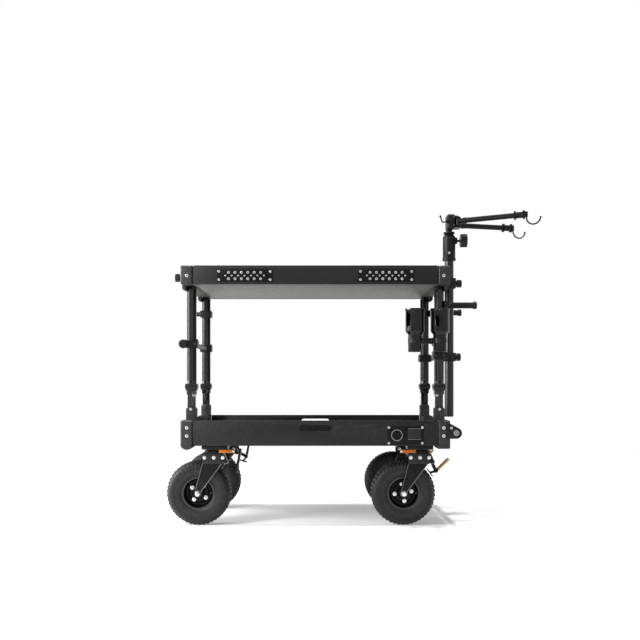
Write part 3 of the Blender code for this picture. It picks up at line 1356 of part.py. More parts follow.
def build_cart():
    """Build every sub-assembly on its joint."""
    powder = finish_material("powder_black", (0.030, 0.030, 0.031), 0.55, 0.0)
    casting = finish_material("cast_black", (0.045, 0.045, 0.046), 0.60, 0.2)
    plastic = finish_material("knob_black", (0.022, 0.022, 0.022), 0.50, 0.0)
    anodised = finish_material("anodised_black", (0.020, 0.020, 0.022), 0.35, 0.8)
    sheet = finish_material("underside_grey", (0.30, 0.29, 0.27), 0.55, 0.1)
    board = finish_material("shelf_board", (0.035, 0.035, 0.036), 0.85, 0.0)
    steel = finish_material("caster_steel", (0.050, 0.050, 0.052), 0.45, 0.5)
    tyre_rubber = finish_material("tyre_rubber", (0.040, 0.040, 0.040), 0.80, 0.0)
    rim_paint = finish_material("rim_black", (0.015, 0.015, 0.015), 0.35, 0.2)
    grip_rubber = finish_material("grip_rubber", (0.025, 0.025, 0.025), 0.75, 0.0)
    accent = finish_material("lever_orange", (0.80, 0.32, 0.06), 0.45, 0.0)

    cart = pivot("cart", (0, 0, 0))
    tray_floor(cart, powder)
    tray_rails(cart, powder)
    tray_ends(cart, casting)
    lift_bar(cart, casting)
    casters(cart, steel, tyre_rubber, rim_paint, accent)

    left_legs(pivot("left_fold", (-PIVOT_X, 0, PIVOT_Z), cart), anodised, casting)
    right_legs(pivot("right_fold", (PIVOT_X, 0, PIVOT_Z), cart), anodised, casting, grip_rubber)

    shelf = pivot("shelf_lift", (0, 0, SHELF_BOTTOM), cart)
    shelf_panels(shelf, board, sheet)
    shelf_rails(shelf, powder)
    shelf_ends(shelf, casting)
    mast_top_bracket(shelf, casting)
    for row, side_y in (("front", -1), ("rear", 1)):
        place = (-HALF_LENGTH - GAP, side_y * POST_Y, SHELF_BOTTOM + SHELF_KNOB_RISE)
        axis = pivot(f"shelf_knob_axis_{row}", place, shelf)
        piece = knob(
            f"shelf_knob_{row}", place, SIDE_KNOB_RADIUS, SIDE_KNOB_LENGTH, KNOB_STEM_LENGTH, -1
        )
        mount(piece, axis, plastic)

    bracket_z = SHELF_BOTTOM + TOP_BRACKET_RISE + TOP_BRACKET_HEIGHT / 2
    knob_place = (MAST_X + MAST_RADIUS + JAW_WALL - SINK + GAP, 0, bracket_z)
    axis = pivot("mast_top_knob_axis", knob_place, shelf)
    piece = knob(
        "mast_top_knob", knob_place, SIDE_KNOB_RADIUS, MAST_TOP_KNOB_LENGTH, MAST_TOP_STEM_LENGTH, 1
    )
    mount(piece, axis, plastic)

    mast = pivot("mast_slide", (MAST_X, 0, MAST_BOTTOM_Z), shelf)
    mast_tube(mast, anodised)
    mast_base_clamp(mast, casting)
    mast_socket(mast, casting)
    tee_place = (MAST_X + TEE_BOSS_REACH + GAP, 0, MAST_TOP_Z + TEE_KNOB_RISE)
    tee_axis = pivot("tee_knob_axis", tee_place, mast)
    tee = knob("mast_tee_knob", tee_place, TEE_KNOB_RADIUS, TEE_KNOB_THICKNESS, TEE_STEM_LENGTH, 1, 7)
    mount(tee, tee_axis, plastic)

    head = pivot("head_swivel", (MAST_X, 0, HEAD_Z), mast)
    mast_head(head, casting)
    for row, side in (("front", -1), ("rear", 1)):
        place = (MAST_X + ARM_PIVOT_REACH, side * ARM_PIVOT_SPREAD / 2, ARM_MID_Z)
        arm_pivot = pivot(f"arm_pivot_{row}", place, head)
        hook_arm(
            f"hook_arm_{row}", arm_pivot, ARM_LENGTHS[row], -side * ARM_Z_STEP, ARM_YAWS[row], casting
        )

    centre_on_origin(cart)


clear_scene()
PARTS = bpy.data.collections.new("workstation_cart")
bpy.context.scene.collection.children.link(PARTS)
PLACES = {}
build_cart()
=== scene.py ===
"""Studio scene of a folding workstation cart for camera and grip gear.

The cart is dressed around its fixed frame: castings and rails get their rounded edges
and fasteners, the casters their treaded tyres and dished rims, and the mast its head
and hooks. Pieces are modelled in the deck's own frame, with X along the deck, Y from
its front to its rear and Z up from the floor, and are moved to the cart's frame at
the end. All sizes are in metres.
"""

import json
import logging
import math
from contextlib import contextmanager
from dataclasses import dataclass
from enum import Enum
from typing import Callable, Iterable, Iterator, Sequence

import bpy
from mathutils import Matrix, Vector


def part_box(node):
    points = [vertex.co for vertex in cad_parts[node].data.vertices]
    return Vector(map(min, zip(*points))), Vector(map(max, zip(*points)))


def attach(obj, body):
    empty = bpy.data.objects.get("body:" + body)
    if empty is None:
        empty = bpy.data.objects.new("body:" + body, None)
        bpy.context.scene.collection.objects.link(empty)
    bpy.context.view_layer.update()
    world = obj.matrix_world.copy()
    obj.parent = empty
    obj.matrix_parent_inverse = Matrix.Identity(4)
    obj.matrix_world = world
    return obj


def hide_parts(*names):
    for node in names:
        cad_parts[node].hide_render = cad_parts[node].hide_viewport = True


logging.basicConfig(level=logging.INFO, format="%(levelname)s %(message)s")
LOG = logging.getLogger("workstation_cart")

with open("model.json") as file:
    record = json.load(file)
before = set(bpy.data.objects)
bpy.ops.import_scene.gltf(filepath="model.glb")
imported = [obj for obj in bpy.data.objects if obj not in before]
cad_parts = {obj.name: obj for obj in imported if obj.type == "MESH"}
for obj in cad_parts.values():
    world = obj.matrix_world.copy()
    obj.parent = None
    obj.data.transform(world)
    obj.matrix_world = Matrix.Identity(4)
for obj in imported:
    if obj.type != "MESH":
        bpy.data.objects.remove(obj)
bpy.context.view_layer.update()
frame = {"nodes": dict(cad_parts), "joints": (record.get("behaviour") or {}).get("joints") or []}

Place = Sequence[float]
Profile = list[tuple[float, float]]
Piece = bpy.types.Object
Choice = Callable[[bpy.types.MeshPolygon], bool]
Socket = bpy.types.NodeSocket

MERGE = 0.00002
FLAT_ANGLE = 0.8
SMOOTH_ANGLE = 32.0
HEAD_TURN = 0.7
WHITE = (1.0, 1.0, 1.0, 1.0)
FLOOR_GREY = (0.80, 0.80, 0.80, 1.0)


class Axis(Enum):
    """A direction in the deck's frame."""

    RIGHT = (1.0, 0.0, 0.0)
    LEFT = (-1.0, 0.0, 0.0)
    REAR = (0.0, 1.0, 0.0)
    FRONT = (0.0, -1.0, 0.0)
    UP = (0.0, 0.0, 1.0)
    DOWN = (0.0, 0.0, -1.0)

    def turn(self) -> Matrix:
        """Return the matrix that points +Z along this direction."""
        return Vector(self.value).to_track_quat("Z", "Y").to_matrix().to_4x4()


class Grain(Enum):
    """The kinds of surface grain that a finish can have."""

    POWDER = "powder"
    CAST = "cast"
    DRAWN = "drawn"
    LAMINATE = "laminate"
    MOULDED = "moulded"
    PLATED = "plated"


# Finishes

@dataclass
class Nodes:
    """A tree of shader nodes, filled with one call for each node."""

    tree: bpy.types.NodeTree

    def fill(self, node: bpy.types.Node, inputs: dict[str | int, object]) -> bpy.types.Node:
        """Set a node's inputs, or link those that another node gives."""
        for name, value in inputs.items():
            if isinstance(value, Socket):
                self.tree.links.new(value, node.inputs[name])
            else:
                node.inputs[name].default_value = value
        return node

    def add(self, kind: str, inputs: dict[str | int, object], **settings: object) -> bpy.types.Node:
        """Add a node with its settings and its inputs."""
        node = self.tree.nodes.new(kind)
        for name, value in settings.items():
            setattr(node, name, value)
        return self.fill(node, inputs)

    def math(self, operation: str, first: Socket, second: Socket | float) -> Socket:
        """Return the result of an operation on two values."""
        return self.add("ShaderNodeMath", {0: first, 1: second}, operation=operation).outputs["Value"]

    def noise(self, place: Socket, size: float, detail: float = 3.0) -> Socket:
        """Return a noise of the given feature size."""
        inputs = {"Vector": place, "Scale": 1.0 / size, "Detail": detail}
        return self.add("ShaderNodeTexNoise", inputs).outputs["Fac"]

    def ranged(self, value: Socket, low: float, high: float, to_low: float, to_high: float) -> Socket:
        """Return a value mapped from one range to another."""
        return self.add("ShaderNodeMapRange", {
            "Value": value, "From Min": low, "From Max": high, "To Min": to_low, "To Max": to_high,
        }).outputs["Result"]

    def blend(self, share: Socket, first: Socket | tuple, second: tuple) -> Socket:
        """Return a colour that goes from the first to the second by a share."""
        start = (*first, 1.0) if isinstance(first, tuple) else first
        mix = self.add("ShaderNodeMix", {"Factor": share, "A": start, "B": (*second, 1.0)}, data_type="RGBA")
        return mix.outputs["Result"]

    def rays(self, *kinds: str) -> Socket:
        """Return 1 for the given kinds of ray and 0 for all others."""
        path = self.add("ShaderNodeLightPath", {})
        found = path.outputs[kinds[0]]
        for kind in kinds[1:]:
            found = self.math("MAXIMUM", found, path.outputs[kind])
        return found


@dataclass(frozen=True)
class Finish:
    """One surface finish: its colour, gloss, grain, and lighter outer edges that are partly wear and partly
    painted highlight.
    """

    name: str
    slot: str
    colour: tuple[float, float, float]
    roughness: float
    grain: Grain
    grain_size: float
    bump: float
    metallic: float = 0.0
    specular: float = 0.5
    mottle: float = 0.25
    edge_wear_and_highlight: float = 0.0
    edge_wear_and_highlight_colour: tuple[float, float, float] = (0.25, 0.25, 0.25)
    dust: float = 0.0

    def material(self) -> bpy.types.Material:
        """Return this finish's material, made on first use."""
        found = bpy.data.materials.get(self.name)
        if found is not None:
            return found
        material = bpy.data.materials.new(self.name)
        material.use_nodes = True
        material.diffuse_color = (*self.colour, 1.0)
        nodes = Nodes(material.node_tree)
        place = nodes.add("ShaderNodeTexCoord", {}).outputs["Object"]
        colour = self._mottled(nodes, place)
        # Outer edges are lightened: partly wear, partly a painted edge highlight.
        if self.edge_wear_and_highlight > 0:
            colour = self._worn_and_lit_edges(nodes, place, colour)
        if self.dust > 0:
            colour = self._dusted(nodes, place, colour)
        nodes.fill(material.node_tree.nodes["Principled BSDF"], {
            "Metallic": self.metallic, "Specular IOR Level": self.specular, "Base Color": colour,
            "Roughness": self._gloss(nodes, place), "Normal": self._relief(nodes, place),
        })
        return material

    def _mottled(self, nodes: Nodes, place: Socket) -> Socket:
        """Return the base colour with its slow variation."""
        dark = tuple(channel * (1 - self.mottle) for channel in self.colour)
        light = tuple(min(1.0, channel * (1 + self.mottle)) for channel in self.colour)
        return nodes.blend(nodes.ranged(nodes.noise(place, 0.045, 4.0), 0.35, 0.65, 0.0, 1.0), dark, light)

    def _worn_and_lit_edges(self, nodes: Nodes, place: Socket, colour: Socket) -> Socket:
        """Return the colour lightened along outer edges in patches: partly rubbed wear, partly a painted
        edge highlight.
        """
        edge = nodes.add("ShaderNodeNewGeometry", {}).outputs["Pointiness"]
        sharp = nodes.ranged(edge, 0.52, 0.62, 0.0, self.edge_wear_and_highlight)
        patches = nodes.ranged(nodes.noise(place, 0.012), 0.42, 0.62, 0.1, 1.0)
        return nodes.blend(nodes.math("MULTIPLY", sharp, patches), colour, self.edge_wear_and_highlight_colour)

    def _dusted(self, nodes: Nodes, place: Socket, colour: Socket) -> Socket:
        """Return the colour with a thin dust in patches."""
        share = nodes.ranged(nodes.noise(place, 0.020, 6.0), 0.45, 0.75, 0.0, self.dust)
        return nodes.blend(share, colour, (0.22, 0.21, 0.19))

    def _gloss(self, nodes: Nodes, place: Socket) -> Socket:
        """Return the roughness with its smudges."""
        smooth_end, rough_end = self.roughness * 0.88, min(1.0, self.roughness * 1.12)
        return nodes.ranged(nodes.noise(place, 0.018, 5.0), 0.3, 0.7, smooth_end, rough_end)

    def _relief(self, nodes: Nodes, place: Socket) -> Socket:
        """Return the normal with the finish's grain."""
        if self.grain in (Grain.DRAWN, Grain.LAMINATE):
            drawn = (1.0, 1.0, 0.03) if self.grain is Grain.DRAWN else (0.12, 1.0, 1.0)
            place = nodes.add("ShaderNodeMapping", {"Vector": place, "Scale": drawn}).outputs["Vector"]
        if self.grain is Grain.CAST:
            cells = nodes.add("ShaderNodeTexVoronoi", {"Vector": place, "Scale": 1.0 / self.grain_size})
            height = cells.outputs["Distance"]
        else:
            height = nodes.noise(place, self.grain_size, 2.0)
        inputs = {"Height": height, "Strength": 0.6, "Distance": self.bump}
        return nodes.add("ShaderNodeBump", inputs).outputs["Normal"]


# A finish's edge share lightens its outer edges: partly wear, partly a painted edge highlight.
POWDER = Finish("black_powder_coat", "powder_black", (0.0150, 0.0150, 0.0152), 0.46, Grain.POWDER, 0.0011,
                0.00010, specular=0.13, mottle=0.05, edge_wear_and_highlight=0.08)
CASTING = Finish("black_casting", "cast_black", (0.018, 0.018, 0.0182), 0.44, Grain.CAST, 0.0014,
                 0.00014, specular=0.30, mottle=0.06, edge_wear_and_highlight=0.14)
CLAMP = Finish("black_clamp", "cast_black", (0.0060, 0.0060, 0.0062), 0.36, Grain.POWDER, 0.0009,
               0.00008, specular=0.17, mottle=0.06, edge_wear_and_highlight=0.08)
PLASTIC = Finish("moulded_black", "knob_black", (0.0060, 0.0060, 0.0062), 0.34, Grain.MOULDED, 0.0012,
                 0.00006, specular=0.20, mottle=0.06)
ANODISED = Finish("black_anodised", "anodised_black", (0.0050, 0.0050, 0.0052), 0.22, Grain.DRAWN, 0.0011,
                  0.00002, specular=0.38, mottle=0.05)
SHEET = Finish("grey_sheet", "underside_grey", (0.112, 0.1108, 0.103), 0.50, Grain.POWDER, 0.0013,
               0.0001, specular=0.3, mottle=0.03)
# Dark grey for the thin sheets under the shelf's ends: painted shade.
PAINTED_SHADE_SHEET = Finish("underside_painted_shade", "underside_grey", (0.048, 0.0475, 0.045), 0.55, Grain.POWDER, 0.0013,
                0.0001, specular=0.2, mottle=0.10)
BOARD = Finish("black_board", "shelf_board", (0.020, 0.020, 0.0205), 0.62, Grain.LAMINATE, 0.0016,
               0.00018, specular=0.3, mottle=0.12, dust=0.02)
STEEL = Finish("black_steel", "caster_steel", (0.0045, 0.0045, 0.0047), 0.38, Grain.POWDER, 0.0014,
               0.00012, specular=0.16, mottle=0.08, edge_wear_and_highlight=0.10)
RECESS = Finish("steel_recess", "caster_steel", (0.0085, 0.0085, 0.0085), 0.60, Grain.POWDER, 0.0014,
                0.00010, specular=0.10)
# Pale grey for the sloped rims of the forks' pressed cheeks: a painted highlight.
PAINTED_RIM_HIGHLIGHT = Finish("steel_painted_rim_highlight", "caster_steel", (0.110, 0.108, 0.112), 0.36, Grain.POWDER, 0.0014,
              0.00006, specular=0.40, mottle=0.05)
CROWN = Finish("steel_crown", "caster_steel", (0.013, 0.0122, 0.0140), 0.36, Grain.POWDER, 0.0014,
               0.00006, specular=0.22, mottle=0.05)
ZINC = Finish("plated_steel", "caster_steel", (0.62, 0.62, 0.60), 0.28, Grain.PLATED, 0.0010,
              0.00005, metallic=1.0, mottle=0.12)
DARK_BOLT = Finish("blackened_steel", "caster_steel", (0.060, 0.060, 0.062), 0.34, Grain.PLATED, 0.0010,
                   0.00005, metallic=0.9, mottle=0.12)
# Near black for the floors of screw recesses and insert holes: painted shade.
HOLE_SHADOW = Finish("thread_shadow", "caster_steel", (0.004, 0.004, 0.004), 0.85, Grain.PLATED, 0.0010,
              0.00005, specular=0.1)
TYRE = Finish("tyre_tread", "tyre_rubber", (0.0112, 0.0112, 0.0110), 0.50, Grain.MOULDED, 0.0016,
              0.0002, specular=0.28, mottle=0.10, dust=0.04)
# The rims' rolled lips: glossier than the rim, with the colour lifted as a painted sheen.
LIP_SHEEN = Finish("rim_lip_painted_sheen", "rim_black", (0.010, 0.010, 0.010), 0.26, Grain.POWDER, 0.0018,
             0.00006, specular=0.50)
RIM = Finish("gloss_black_rim", "rim_black", (0.0015, 0.0015, 0.0015), 0.35, Grain.POWDER, 0.0018,
             0.00010, specular=0.12)
GRIP = Finish("ribbed_rubber", "grip_rubber", (0.008, 0.008, 0.008), 0.66, Grain.MOULDED, 0.0010,
              0.0001, specular=0.25)
GLOSS = Finish("gloss_black", "cast_black", (0.0030, 0.0030, 0.0031), 0.13, Grain.POWDER, 0.0024,
               0.00003, specular=0.26)
PLATE = Finish("gloss_plate", "powder_black", (0.0040, 0.0040, 0.0042), 0.30, Grain.POWDER, 0.0024,
               0.00003, specular=0.12, mottle=0.05)
ORANGE = Finish("orange_dip", "lever_orange", (0.70, 0.36, 0.14), 0.38, Grain.MOULDED, 0.0012,
                0.0001, specular=0.45, mottle=0.05, edge_wear_and_highlight=0.12, edge_wear_and_highlight_colour=(0.9, 0.66, 0.42))
RUST = Finish("deep_orange_dip", "lever_orange", (0.40, 0.110, 0.014), 0.40, Grain.MOULDED, 0.0012,
              0.0001, specular=0.18, mottle=0.08, edge_wear_and_highlight=0.12, edge_wear_and_highlight_colour=(0.7, 0.32, 0.08))
BADGE = Finish("plain_badge", "powder_black", (0.004, 0.004, 0.004), 0.28, Grain.MOULDED, 0.0020,
               0.00003, specular=0.12)
BLOCK = Finish("plain_block", "powder_black", (0.022, 0.022, 0.023), 0.42, Grain.MOULDED, 0.0020,
               0.00005, specular=0.12, mottle=0.06)
PALE_PLATE = Finish("plain_plate", "powder_black", (0.19, 0.187, 0.18), 0.42, Grain.PLATED, 0.0012,
                    0.00005, mottle=0.06)


# Bench tools

def new_object(name: str, data: bpy.types.ID) -> bpy.types.Object:
    """Return a new object with the data, linked to the scene."""
    made = bpy.data.objects.new(name, data)
    bpy.context.scene.collection.objects.link(made)
    return made


def deselect() -> None:
    """Leave edit mode and deselect every object."""
    if bpy.context.object is not None and bpy.context.object.mode != "OBJECT":
        bpy.ops.object.mode_set(mode="OBJECT")
    bpy.ops.object.select_all(action="DESELECT")


def activate(piece: Piece) -> None:
    """Make a piece the only selected object and the active one."""
    deselect()
    piece.select_set(True)
    bpy.context.view_layer.objects.active = piece


@contextmanager
def editing(piece: Piece) -> Iterator[None]:
    """Edit a piece's mesh, with all of it selected at first."""
    activate(piece)
    bpy.ops.object.mode_set(mode="EDIT")
    bpy.ops.mesh.select_all(action="SELECT")
    yield
    bpy.ops.object.mode_set(mode="OBJECT")


def settle(piece: Piece) -> Piece:
    """Move a piece's place, turn and scale into its mesh."""
    activate(piece)
    bpy.ops.object.transform_apply(location=True, rotation=True, scale=True)
    return piece


def apply_modifier(piece: Piece, kind: str, **settings: object) -> Piece:
    """Add a modifier with its settings and apply it.

    Args:
        piece: The piece to change.
        kind: The modifier's type.
        **settings: The modifier's values.

    Returns:
        The same piece.
    """
    activate(piece)
    modifier = piece.modifiers.new(kind.title(), kind)
    for name, value in settings.items():
        setattr(modifier, name, value)
    bpy.ops.object.modifier_apply(modifier=modifier.name)
    return piece


def round_edges(piece: Piece, width: float, segments: int = 2, angle: float = 30.0) -> Piece:
    """Bevel the edges that are sharper than an angle in degrees."""
    return apply_modifier(
        piece, "BEVEL", width=width, segments=segments, limit_method="ANGLE",
        angle_limit=math.radians(angle), loop_slide=False,
    )


def add_block(name: str, low: Place, high: Place, bevel: float = 0.0, segments: int = 2) -> Piece:
    """Add a block between two corners, with its edges rounded."""
    low, high = Vector(low), Vector(high)
    bpy.ops.mesh.primitive_cube_add(size=1.0, location=(low + high) / 2)
    piece = bpy.context.object
    piece.name = name
    piece.scale = high - low
    settle(piece)
    return round_edges(piece, bevel, segments) if bevel else piece


def add_bar(name: str, start: Place, end: Place, radius: float, sides: int = 40,
            bevel: float = 0.0) -> Piece:
    """Add a round bar from one point to another."""
    start, end = Vector(start), Vector(end)
    run = end - start
    bpy.ops.mesh.primitive_cylinder_add(
        vertices=sides, radius=radius, depth=run.length, location=(start + end) / 2,
        rotation=run.to_track_quat("Z", "Y").to_euler(),
    )
    piece = bpy.context.object
    piece.name = name
    settle(piece)
    return round_edges(piece, bevel, 2, 50.0) if bevel else piece


def add_turned(name: str, profile: Profile, steps: int, centre: Place, axis: Axis = Axis.UP,
               closed: bool = False) -> Piece:
    """Trace a profile of (radius, height) points and spin it about an axis.

    Args:
        name: The piece's name.
        profile: The section's points.
        steps: How many steps a full turn has.
        centre: Where the section's origin goes.
        axis: Which way its height points.
        closed: Whether the section is a loop.

    Returns:
        The turned piece.
    """
    radius, height = profile[0]
    deselect()
    bpy.ops.mesh.primitive_plane_add(size=0.01, location=(0, 0, 0))
    piece = bpy.context.object
    piece.name = name
    bpy.ops.object.mode_set(mode="EDIT")
    bpy.ops.mesh.select_mode(type="VERT")
    bpy.ops.mesh.select_all(action="SELECT")
    bpy.ops.mesh.merge(type="CENTER")
    bpy.ops.transform.translate(value=(radius, 0, height))
    for start, end in zip(profile, profile[1:]):
        step = (end[0] - start[0], 0, end[1] - start[1])
        bpy.ops.mesh.extrude_vertices_move(TRANSFORM_OT_translate={"value": step})
    if closed:
        bpy.ops.mesh.extrude_vertices_move(TRANSFORM_OT_translate={
            "value": (radius - profile[-1][0], 0, height - profile[-1][1])
        })
    bpy.ops.mesh.select_all(action="SELECT")
    bpy.ops.mesh.spin(steps=steps, angle=2 * math.pi, center=(0, 0, 0), axis=(0, 0, 1))
    bpy.ops.mesh.select_all(action="SELECT")
    bpy.ops.mesh.remove_doubles(threshold=MERGE)
    bpy.ops.mesh.normals_make_consistent(inside=False)
    bpy.ops.object.mode_set(mode="OBJECT")
    piece.data.transform(Matrix.Translation(centre) @ axis.turn())
    return piece


def add_wire(name: str, points: Iterable[Place], radius: float, sides: int = 4) -> Piece:
    """Add a bent round wire through points, with closed ends."""
    curve = bpy.data.curves.new(name, "CURVE")
    curve.dimensions = "3D"
    curve.bevel_depth = radius
    curve.bevel_resolution = sides
    curve.use_fill_caps = True
    places = list(points)
    spline = curve.splines.new("POLY")
    spline.points.add(len(places) - 1)
    for point, place in zip(spline.points, places):
        point.co = (*place, 1.0)
    activate(new_object(name, curve))
    bpy.ops.object.convert(target="MESH")
    return clean(bpy.context.object)


def clean(piece: Piece, dissolve: bool = False) -> Piece:
    """Merge a piece's doubled corners and, if asked, its flat neighbouring faces."""
    with editing(piece):
        bpy.ops.mesh.remove_doubles(threshold=MERGE)
        if dissolve:
            bpy.ops.mesh.dissolve_limited(angle_limit=math.radians(FLAT_ANGLE))
        bpy.ops.mesh.normals_make_consistent(inside=False)
    return piece


def split_faces(piece: Piece) -> Piece:
    """Cut the faces that have more than four sides into triangles."""
    with editing(piece):
        bpy.ops.mesh.select_mode(type="FACE")
        bpy.ops.mesh.select_all(action="DESELECT")
        bpy.ops.mesh.select_face_by_sides(number=4, type="GREATER")
        bpy.ops.mesh.quads_convert_to_tris(ngon_method="BEAUTY")
    return piece


def refined(node: str, name: str) -> Piece:
    """Return a copy of a fixed node, in the deck's frame, with its flat faces made whole."""
    piece = new_object(name, frame["nodes"][node].data.copy())
    piece.data.materials.clear()
    piece.data.transform(Matrix.Translation(-DECK.origin))
    activate(piece)
    bpy.ops.mesh.customdata_custom_splitnormals_clear()
    return clean(piece, dissolve=True)


def press_faces(piece: Piece, chosen: Choice, margin: float, depth: float, finish: Finish) -> Piece:
    """Inset the chosen faces as one region and push the inner part in.

    Args:
        piece: The piece to change, which has its own finish already.
        chosen: Tells whether a face is in the region.
        margin: The width of the rim that stays.
        depth: How far the inside goes, outwards where it is positive.
        finish: The inner part's finish.

    Returns:
        The same piece.
    """
    activate(piece)
    bpy.ops.object.mode_set(mode="EDIT")
    bpy.ops.mesh.select_mode(type="FACE")
    bpy.ops.mesh.select_all(action="DESELECT")
    bpy.ops.object.mode_set(mode="OBJECT")
    for face in piece.data.polygons:
        face.select = chosen(face)
    bpy.ops.object.mode_set(mode="EDIT")
    bpy.ops.mesh.inset(thickness=margin, depth=depth, use_even_offset=True)
    bpy.ops.object.mode_set(mode="OBJECT")
    return tint(piece, lambda face: face.select, finish)


def tint(piece: Piece, chosen: Choice, finish: Finish) -> Piece:
    """Give the chosen faces of a finished piece another finish."""
    piece.data.materials.append(finish.material())
    for face in piece.data.polygons:
        if chosen(face):
            face.material_index = len(piece.data.materials) - 1
    return piece


def carve(piece: Piece, *cutters: Piece) -> Piece:
    """Cut solids out of a piece and remove them."""
    for cutter in cutters:
        apply_modifier(piece, "BOOLEAN", operation="DIFFERENCE", object=cutter)
        bpy.data.objects.remove(cutter, do_unlink=True)
    return piece


def paint(piece: Piece, finish: Finish) -> Piece:
    """Give a piece one finish all over."""
    piece.data.materials.clear()
    piece.data.materials.append(finish.material())
    for face in piece.data.polygons:
        face.material_index = 0
    return piece


def copied(piece: Piece, name: str, matrix: Matrix) -> Piece:
    """Return a copy of a piece with its own mesh, moved by a matrix."""
    twin = new_object(name, piece.data.copy())
    twin.data.transform(matrix)
    return twin


def joined(name: str, pieces: Sequence[Piece]) -> Piece:
    """Join pieces into the first of them and name it."""
    activate(pieces[0])
    for piece in pieces[1:]:
        piece.select_set(True)
    if len(pieces) > 1:
        bpy.ops.object.join()
    pieces[0].name = name
    return pieces[0]


def smooth(piece: Piece) -> Piece:
    """Shade a piece smooth, with its sharp edges kept."""
    activate(piece)
    bpy.ops.object.shade_smooth_by_angle(angle=math.radians(SMOOTH_ANGLE))
    return piece


def hand_over(piece: Piece, body: str, finish: Finish, nodes: Sequence[str] = ()) -> Piece:
    """Finish a piece and let it ride on its body.

    Args:
        piece: The piece, in the deck's frame.
        body: The body it moves with.
        finish: Its main finish, which it gets all over if it has none yet.
        nodes: The fixed nodes that it stands for.

    Returns:
        The same piece, in the cart's frame.
    """
    if not piece.data.materials:
        paint(piece, finish)
    split_faces(piece)
    smooth(piece)
    settle(piece)
    piece.data.transform(Matrix.Translation(DECK.origin))
    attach(piece, body)
    if nodes:
        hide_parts(*nodes)
    LOG.info("%s rides on %s, %d faces", piece.name, body, len(piece.data.polygons))
    return piece


def fit_turned(name: str, body: str, finish: Finish, profile: Profile, steps: int, centre: Place,
               axis: Axis = Axis.UP, nodes: Sequence[str] = (), closed: bool = False) -> Piece:
    """Turn a profile about an axis and let the piece ride on a body."""
    return hand_over(add_turned(name, profile, steps, centre, axis, closed), body, finish, nodes)


def refine(node: str, name: str, body: str, finish: Finish, width: float = 0.0010, segments: int = 2,
           angle: float = 30.0) -> Piece:
    """Round the edges of a fixed node's copy and let it stand for the node.

    Args:
        node: The fixed node.
        name: The new piece's name.
        body: The body it moves with.
        finish: Its finish.
        width: The width of the rounding.
        segments: How many faces round an edge.
        angle: The least angle of an edge that is rounded, in degrees.

    Returns:
        The piece, handed over.
    """
    return hand_over(round_edges(refined(node, name), width, segments, angle), body, finish, [node])


def joint_place(name: str) -> Vector:
    """Return a joint's place in the deck's frame."""
    for joint in frame["joints"]:
        if joint["name"] == name:
            return Vector(joint["pos_m"]) - DECK.origin
    raise KeyError(name)


def node_box(node: str) -> tuple[Vector, Vector]:
    """Return a node's lowest and highest corners in the deck's frame."""
    low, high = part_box(node)
    return low - DECK.origin, high - DECK.origin


@dataclass(frozen=True)
class Deck:
    """The deck's plan and the places that the rest lines up with."""

    origin: Vector
    half_length: float
    half_width: float
    corner_x: float

    @classmethod
    def measured(cls) -> "Deck":
        """Return the deck as the frame has it."""
        left_low, left_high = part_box("tray_end_left")
        right_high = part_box("tray_end_right")[1]
        rail_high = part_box("tray_rail_rear")[1]
        middle_x = (left_low.x + right_high.x) / 2
        middle_y = (left_low.y + left_high.y) / 2
        return cls(
            origin=Vector((middle_x, middle_y, 0)),
            half_length=right_high.x - middle_x,
            half_width=left_high.y - middle_y,
            corner_x=rail_high.x - middle_x,
        )


DECK = Deck.measured()
ROWS = (("front", -1), ("rear", 1))
ENDS = (("left", -1), ("right", 1))
POST_X = 0.4925
POST_Y = 0.221
COLLAR_BOLTS = (-0.0215, 0.0215)
LIP_RADIUS = 0.0575
LIP_OUT = 0.0275
PLATE_PROUD = 0.0003


def on_lip(face: bpy.types.MeshPolygon) -> bool:
    """Tell whether a face of the rim, about its own centre, belongs to a rolled lip."""
    return math.hypot(face.center.x, face.center.z) > LIP_RADIUS and abs(face.center.y) > LIP_OUT


def on_plate(face: bpy.types.MeshPolygon) -> bool:
    """Tell whether a face belongs to a plate that stands out from a rail."""
    return abs(face.center.y) > DECK.half_width + PLATE_PROUD


def facing(side_y: int) -> Axis:
    """Return the direction that a row's outer side faces."""
    return Axis.FRONT if side_y < 0 else Axis.REAR


def spread(count: int, pitch: float) -> list[float]:
    """Return evenly spaced places about zero."""
    return [(index - (count - 1) / 2) * pitch for index in range(count)]


def dress_rail(node: str, body: str, edge: float) -> None:
    """Refine a rail and give the plates on it their own finish."""
    rail = paint(round_edges(refined(node, f"{node}_sheet"), edge), POWDER)
    tint(rail, on_plate, PLATE)
    hand_over(rail, body, POWDER, [node])


# Fasteners

class Drive(Enum):
    """How a fastener is turned."""

    SOCKET = "socket"
    HEXAGON = "hexagon"
    INSERT = "insert"


